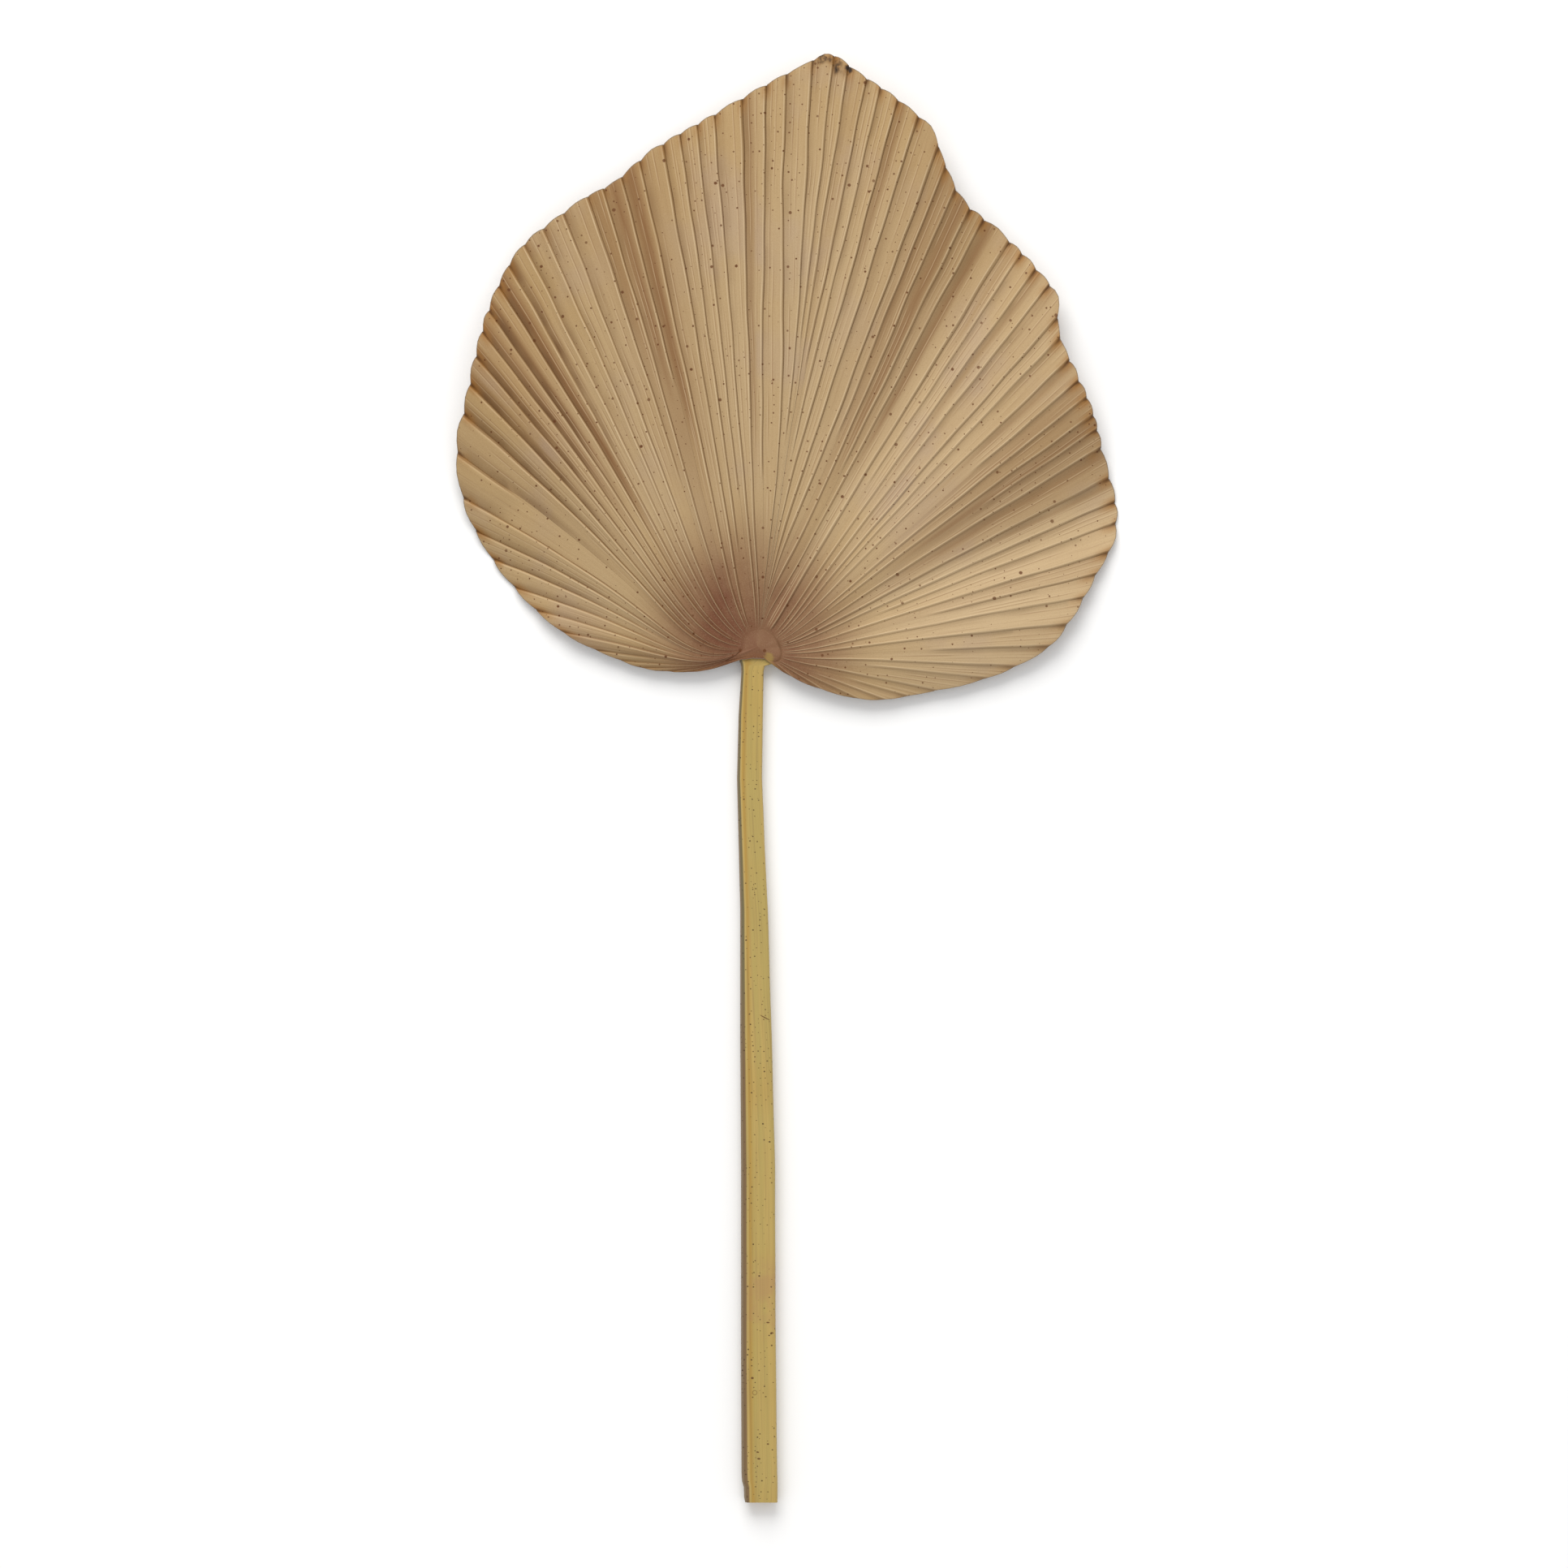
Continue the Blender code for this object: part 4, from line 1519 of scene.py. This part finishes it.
    def surface(self) -> tuple[np.ndarray, np.ndarray, dict[str, np.ndarray]]:
        """Work out the sheet's top as columns by rows.

        The height is the broad sheet (an arch from hub to rim over waves that grow outwards),
        plus the pleats, plus the boss, less the groove round the boss. A round lobe ends each
        pleat at the rim.

        Returns:
            The points, their places on the pattern, and the values that the finish reads.
        """
        pleat, step, sides = self.columns()
        left, right = sides[:, 0], sides[:, 1]
        width = np.radians(right - left) * smooth_line(OUTLINE, 1, (left + right) / 2) * MM
        phase = self.phase(step, self.crest_phase(width))
        angle = left + phase * (right - left)
        lobe = np.minimum(self.scallop_ratio * width, self.scallop_limit)
        own = self.own_size(pleat, self.lobe_spread, Draw.LOBES)
        lobe = lobe * straight_line(PLEATS, 3, angle) * own
        rim = smooth_line(OUTLINE, 1, angle) * MM
        rim = rim + lobe * (np.sin(np.pi * phase) - self.scallop_mean)
        boss = np.minimum(smooth_line(BOSS, 1, angle) * MM, rim)
        rows = np.linspace(0, 1, self.blade_rows + 1)[1:-1] ** self.row_crowding
        inner = np.outer(boss, self.boss_rows)
        outer = boss[:, None] + np.outer(rim - boss, np.concatenate((rows, self.rim_rows)))
        radius = np.hstack((inner, outer))

        left, right, step = left[:, None], right[:, None], step[:, None]
        boss, far = boss[:, None], rim[:, None]
        out = np.clip(radius / far, 0, 1)
        width = np.radians(self.fold_angle(right, radius) - self.fold_angle(left, radius)) * radius
        phase = self.phase(step, self.crest_phase(width))
        angle = left + phase * (right - left)
        pleated = smooth_step((radius - boss) / self.pleat_start) * self.presence(pleat, radius)
        near_hub = 1 + self.hub_pleats * (1 - smooth_step(radius / self.hub_pleats_end))
        depth = np.minimum(self.pleat_ratio * width * near_hub, self.pleat_limit)
        own = self.own_size(pleat, self.depth_spread, Draw.DEPTHS)[:, None]
        depth = depth * straight_line(PLEATS, 1, angle) * own
        barrel = smooth_step((out - self.barrel_start) / self.barrel_run)
        barrel = barrel * straight_line(PLEATS, 2, angle)
        gap = far - radius
        groove = hump((radius - boss) / self.groove_width) * straight_line(BOSS_GROOVE, 1, angle)
        groove = groove * (boss < far * self.boss_clear)
        height = self.sheet_height(angle, out, far, radius)
        height += depth * self.pleat_shape(step, barrel) * pleated
        height += self.boss_rise * smooth_step(1.0 - radius / boss)
        height -= self.groove_depth * groove
        height -= self.rim_thinning * hump(gap / self.rim_round)

        within = smooth_step((angle - FOLDS[0]) / self.base_blend)
        within = within * smooth_step((FOLDS[-1] - angle) / self.base_blend)
        turn = self.fold_angle(angle, radius) + self.wander(pleat, phase, radius, out) * within
        turn = np.radians(turn)
        x = self.hub_x + radius * np.sin(turn)
        y = self.hub_y + radius * np.cos(turn)
        points = np.stack((x, y, height), axis=-1)
        pattern = np.stack((pleat[:, None] + phase, radius), axis=-1)
        inside = (angle > FOLDS[0]) & (angle < FOLDS[-1])
        shade_streak = smooth_step((out - self.streak_start) / self.streak_run)
        shade_streak = straight_line(SHADE_STREAKS, 1, angle) * shade_streak
        values = {
            "pleat_width": width / MM,
            "rim_gap": gap / MM,
            "pleated": pleated * inside,
            "shade_streak": shade_streak * pleated,
            "fold_shade": straight_line(PLEATS, 4, angle),
            "golden": straight_line(TONES, 1, angle),
            "paled": straight_line(TONES, 2, angle),
            "notched": straight_line(TONES, 3, angle),
            "barrel": barrel,
            "boss": smooth_step((self.boss_tone_end - radius / boss) / self.boss_tone_run),
            "browned_and_shaded": self.browned_and_shaded(angle, radius),
            "hub": self.hub_tone(turn, radius),
            "groove": groove,
            "head_patch": self.head_patch(x, y),
            "scorched": self.scorched(x, y),
        }
        return points, pattern, values

    def sheet_height(
        self, angle: np.ndarray, out: np.ndarray, rim: np.ndarray, radius: np.ndarray
    ) -> np.ndarray:
        """Height of the sheet without its pleats: an arch from hub to rim over the broad waves.

        The arch is 4 t (1 - t) of its full height at a part t of the way out, and the waves grow
        with a power of t.

        Args:
            angle: Angles at the rim, in degrees.
            out: Places from hub, 0, to rim, 1.
            rim: Distances from the hub to the rim, in metres.
            radius: Distances from the hub, in metres.

        Returns:
            The heights of the sheet's top, in metres.
        """
        wave = smooth_line(WAVES, 1, angle) * MM - self.hub_height
        arch = self.arch * smooth_step(rim / self.full_arch_at) * 4 * out * (1 - out)
        arch = arch * smooth_step(radius / self.flat_hub)
        return self.hub_height + wave * out**self.droop_power + arch

    def browned_and_shaded(self, angle: np.ndarray, radius: np.ndarray) -> np.ndarray:
        """Strength of the brown and painted shade in the hollows, each a hump across that grows
        outwards.

        Args:
            angle: Angles at the rim, in degrees.
            radius: Distances from the hub, in metres.

        Returns:
            The greatest strength of any hollow there.
        """
        total = np.zeros(np.broadcast(angle, radius).shape)
        for middle, half, start, full, strength in BROWNED_SHADED_HOLLOWS:
            grown = smooth_step((radius / MM - start) / (full - start))
            total = np.maximum(total, strength * hump((angle - middle) / half) * grown)
        return total

    def hub_tone(self, turn: np.ndarray, radius: np.ndarray) -> np.ndarray:
        """Strength of the brown about the hub, which fades out at its own distance each way.

        Args:
            turn: Directions from the hub, in radians.
            radius: Distances from the hub, in metres.

        Returns:
            The strength, 0 to 1.
        """
        turn = np.degrees(turn)
        strength, start, end = (straight_line(HUB_TONE, column, turn) for column in (1, 2, 3))
        return strength * (1.0 - smooth_step((radius / MM - start) / (end - start)))

    def head_patch(self, x: np.ndarray, y: np.ndarray) -> np.ndarray:
        """Mark where the yellow head of the stalk shows beside the boss.

        The distance from the patch's middle is measured in its half sizes. The mark is 0 from
        head_patch_edge outwards, and rises to 1 over head_patch_run on the way in.

        Args:
            x: Places across, in metres.
            y: Places along, in metres.

        Returns:
            The strength of the mark, 0 to 1.
        """
        across, up, half_width, half_length = (value * MM for value in HEAD_PATCH)
        x, y = x - self.hub_x - across, y - self.hub_y - up
        away = np.hypot(x / half_width, y / half_length)
        return smooth_step((self.head_patch_edge - away) / self.head_patch_run)

    def scorched(self, x: np.ndarray, y: np.ndarray) -> np.ndarray:
        """Mark where the tip is scorched.

        A spot falls from 1 at its middle to 0 at its reach, and the strongest spot counts.

        Args:
            x: Places across, in metres.
            y: Places along, in metres.

        Returns:
            The strength of the mark, 0 to 1.
        """
        total = np.zeros_like(x)
        for across, up, reach in SCORCHES:
            away = np.hypot(x - self.hub_x - across * MM, y - self.hub_y - up * MM)
            total = np.maximum(total, 1.0 - smooth_step(away / (reach * MM)))
        return total

    def build(self) -> bpy.types.Object:
        """Build and dress the blade.

        Returns:
            The blade's object.
        """
        top, pattern, values = self.surface()
        near_rim = hump(values["rim_gap"] * MM / self.rim_round)
        thickness = self.thickness - 2 * self.rim_thinning * near_rim
        bottom = top.copy()
        bottom[..., 2] -= thickness
        shell = Shell()
        shell.add_grid(top, pattern, values, flip=False)
        shell.add_grid(bottom, pattern, values, flip=True)
        wall = np.stack((top[:, -1], bottom[:, -1]), axis=1)
        edge = {name: value[:, -1:] for name, value in values.items()}
        shell.add_grid(wall, np.repeat(pattern[:, -1:], 2, axis=1), edge, flip=False)
        blade = shell.make("pleated_blade")
        blade.data.materials.append(BladeFinish(self.groups).material())
        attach(blade, "root")
        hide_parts("leaf_blade")
        return blade


@dataclass
class Stalk:
    """The stalk with its cut end, its head under the boss, and its rib under the blade."""

    groups: dict[str, bpy.types.NodeTree]
    blade: bpy.types.Object
    hub_x: float = HUB[0]
    hub_y: float = HUB[1]
    spacing: float = 2.5 * MM
    least_step: float = 0.02
    unevenness: float = 0.12 * MM
    uneven_waves: tuple[float, float] = (17.0, 41.0)
    uneven_start: float = -40.0
    rib_direction: float = 9.0
    rib_flank: float = 0.12
    seat_gap: float = 0.35 * MM
    seat_probes: int = 9
    around: int = 96
    cap_rings: int = 7

    def section(self) -> np.ndarray:
        """Fill the cross-section in with points between those of its table.

        Returns:
            Rows of place, width, height and flank parts.
        """
        at = np.linspace(0, SECTION[-1][0], self.around + 1)[:-1]
        at = np.sort(np.concatenate((at, [row[0] for row in SECTION[1:-1]])))
        at = at[np.append(np.diff(at) > self.least_step, True)]
        points = [straight_line(SECTION, column, at) for column in (1, 2, 3)]
        return np.stack((at, *points), axis=1)

    def stalk_rings(self, section: np.ndarray) -> np.ndarray:
        """Carry the cross-section along the stalk, whose sides and height are straight runs.

        Its right side strays a little, as the product of two sine waves.

        Args:
            section: The cross-section's rows.

        Returns:
            The points, rings by places round them.
        """
        ends = np.array([row[0] for row in STALK])
        at = np.arange(ends[0] * MM, ends[-1] * MM, self.spacing) / MM
        at = np.unique(np.concatenate((at, ends)))
        left, right, height, flank = (
            straight_line(STALK, column, at)[:, None] * MM for column in (1, 2, 3, 4)
        )
        short, long = self.uneven_waves
        stray = self.unevenness * np.sin(at / short) * np.sin(at / long + 1.0)
        stray = stray * smooth_step(at / self.uneven_start - 1)
        right = right + stray[:, None]
        x = self.hub_x + left + section[:, 1] * (right - left) + section[:, 3] * flank
        z = section[:, 2] * height
        y = np.broadcast_to(self.hub_y + at[:, None] * MM, x.shape)
        return np.stack((x, y, z), axis=-1)

    def seat_height(self, tree: BVHTree, left: float, right: float, y: float) -> float:
        """Height of the lowest point of the blade's underside over a line across it.

        Args:
            tree: The blade's faces.
            left: X of the line's left end.
            right: X of the line's right end.
            y: Y of the line.

        Returns:
            The height in metres.
        """
        heights = []
        for x in np.linspace(left, right, self.seat_probes):
            hit = tree.ray_cast(Vector((x, y, -1.0)), Vector((0, 0, 1)))[0]
            if hit:
                heights.append(hit.z)
        return min(heights)

    def rib_rings(self, section: np.ndarray) -> np.ndarray:
        """Carry the cross-section along the rib, seated just under the blade.

        Its top also stays under the straight runs between its stations, as the solid's does.

        Args:
            section: The cross-section's rows.

        Returns:
            The points, rings by places round them.
        """
        tree = BVHTree.FromObject(self.blade, bpy.context.evaluated_depsgraph_get())
        ends = np.array([row[0] for row in RIB])
        at = np.unique(np.concatenate((np.arange(ends[0], ends[-1], self.spacing / MM), ends)))
        half = straight_line(RIB, 1, at) * MM
        depth = straight_line(RIB, 2, at) * MM
        y = self.hub_y + at * MM
        middle = self.hub_x + at * MM * np.tan(np.radians(self.rib_direction))
        seats = [self.seat_height(tree, m - h, m + h, v) for m, h, v in zip(middle, half, y)]
        top = np.array(seats) - self.seat_gap
        stations = np.interp(at, ends, np.interp(ends, at, top))
        top = np.minimum(top, stations)
        bottom = np.maximum(top - depth, 0.0)
        x = (middle - half)[:, None] + section[:, 1] * 2 * half[:, None]
        x = x + section[:, 3] * self.rib_flank * half[:, None]
        z = bottom[:, None] + section[:, 2] * (top - bottom)[:, None]
        return np.stack((x, np.broadcast_to(y[:, None], x.shape), z), axis=-1)

    def cap(self, ring: np.ndarray) -> np.ndarray:
        """Close an end with rings that shrink to the middle of its section.

        Args:
            ring: The points of the end's ring.

        Returns:
            The points, rings by places round them.
        """
        height = (ring[:, 2].min() + ring[:, 2].max()) / 2
        middle = np.array((ring[:, 0].mean(), ring[0, 1], height))
        share = np.linspace(1, 0, self.cap_rings)[:, None, None]
        return middle + (ring - middle) * share

    def build(self) -> bpy.types.Object:
        """Build and dress the stalk.

        Returns:
            The stalk's object.
        """
        section = self.section()
        rings = np.concatenate((self.stalk_rings(section), self.rib_rings(section)))
        rings = np.concatenate((rings, rings[:, :1]), axis=1)
        step = np.linalg.norm(np.diff(rings, axis=1), axis=-1)
        around = np.concatenate((np.zeros((len(rings), 1)), np.cumsum(step, axis=1)), axis=1)
        along = rings[..., 1] - self.hub_y
        place = np.append(section[:, 0], SECTION[-1][0])
        shell = Shell()
        body = {"section": place, "cut": np.zeros(1)}
        shell.add_grid(rings, np.stack((around, along), axis=-1), body, flip=False)
        for end, flip in ((0, False), (-1, True)):
            grid = self.cap(rings[end])
            flat = np.stack((grid[..., 0], grid[..., 2]), axis=-1)
            shell.add_grid(grid, flat, {"section": place, "cut": np.ones(1)}, flip=not flip)
        stalk = shell.make("khaki_stalk")
        stalk.data.materials.append(StalkFinish(self.groups).material())
        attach(stalk, "root")
        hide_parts("petiole")
        return stalk


@dataclass
class Studio:
    """A pale floor, soft light from the top left, and a camera that looks straight down."""

    frame_width: float = 1083.7 * MM
    centre: tuple[float, float] = (-2.3 * MM, -3.3 * MM)
    subject_height: float = 12 * MM
    camera_height: float = 6.0
    sensor: float = 36.0
    floor_size: float = 24.0
    floor_drop: float = 0.2 * MM
    key_power: float = 268.0
    key_size: float = 4.2
    key_distance: float = 5.5
    key_azimuth: float = -12.0
    key_elevation: float = 38.0
    key_aim: float = 0.2
    key_colour: tuple[float, float, float] = (1.0, 0.985, 0.96)
    floor_light: Colour = (250, 250, 250)
    floor_dark: Colour = (247, 247, 247)
    floor_scale: float = 2.0
    floor_roughness: float = 0.9
    floor_gloss: float = 0.1
    sky: float = 0.74

    def build_camera(self) -> None:
        """Look straight down on the leaf from camera_height, with frame_width across the view."""
        data = bpy.data.cameras.new("camera")
        data.sensor_width = self.sensor
        data.lens = self.sensor * self.camera_height / self.frame_width
        camera = bpy.data.objects.new("camera", data)
        camera.location = (*self.centre, self.camera_height + self.subject_height)
        bpy.context.scene.collection.objects.link(camera)
        bpy.context.scene.camera = camera

    def build_lights(self) -> None:
        """Light the leaf with one large soft lamp and an even sky."""
        data = bpy.data.lights.new("key", "AREA")
        data.energy = self.key_power
        data.size = self.key_size
        data.color = self.key_colour
        lamp = bpy.data.objects.new("key", data)
        azimuth, rise = np.radians((self.key_azimuth, self.key_elevation))
        level = np.cos(rise)
        way = Vector((np.sin(azimuth) * level, np.cos(azimuth) * level, np.sin(rise)))
        lamp.location = way * self.key_distance + Vector((self.centre[0], self.key_aim, 0.0))
        lamp.rotation_euler = way.to_track_quat("Z", "Y").to_euler()
        bpy.context.scene.collection.objects.link(lamp)
        world = bpy.data.worlds.new("sky")
        world.use_nodes = True
        background = world.node_tree.nodes["Background"]
        background.inputs["Color"].default_value = (1.0, 1.0, 1.0, 1.0)
        background.inputs["Strength"].default_value = self.sky
        bpy.context.scene.world = world

    def build_floor(self) -> bpy.types.Object:
        """Lay the pale floor, just under the lowest point of the leaf.

        Returns:
            The floor's object.
        """
        half, z = self.floor_size / 2, -self.floor_drop
        corners = [(-half, -half, z), (half, -half, z), (half, half, z), (-half, half, z)]
        mesh = bpy.data.meshes.new("floor")
        mesh.from_pydata(corners, [], [(0, 1, 2, 3)])
        floor = bpy.data.objects.new("floor", mesh)
        bpy.context.scene.collection.objects.link(floor)
        material, shader, graph = new_material("pale_floor")
        place = graph.add("ShaderNodeTexCoord").outputs["Object"]
        tone = graph.mix(graph.noise(place, self.floor_scale), self.floor_light, self.floor_dark)
        graph.feed(shader.inputs["Base Color"], tone)
        shader.inputs["Roughness"].default_value = self.floor_roughness
        shader.inputs["Specular IOR Level"].default_value = self.floor_gloss
        mesh.materials.append(material)
        return floor


def report(piece: bpy.types.Object) -> None:
    """Log a piece's name, its triangles and its size in millimetres.

    Args:
        piece: The piece's object.
    """
    points = np.array([vertex.co for vertex in piece.data.vertices])
    size = (points.max(axis=0) - points.min(axis=0)) / MM
    count = sum(len(face.vertices) - 2 for face in piece.data.polygons)
    logging.info("%s: %d triangles, %.1f x %.1f x %.1f mm", piece.name, count, *size)


def main() -> None:
    """Build the leaf and its studio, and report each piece."""
    logging.basicConfig(level=logging.INFO, format="%(message)s")
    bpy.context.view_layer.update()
    bpy.context.scene.view_settings.view_transform = "Standard"
    groups = {"specks": Specks().group(), "fibres": Fibres().group()}
    blade = Blade(groups).build()
    report(blade)
    stalk = Stalk(groups, blade).build()
    report(stalk)
    studio = Studio()
    studio.build_floor()
    studio.build_lights()
    studio.build_camera()


if __name__ == "__main__":
    main()
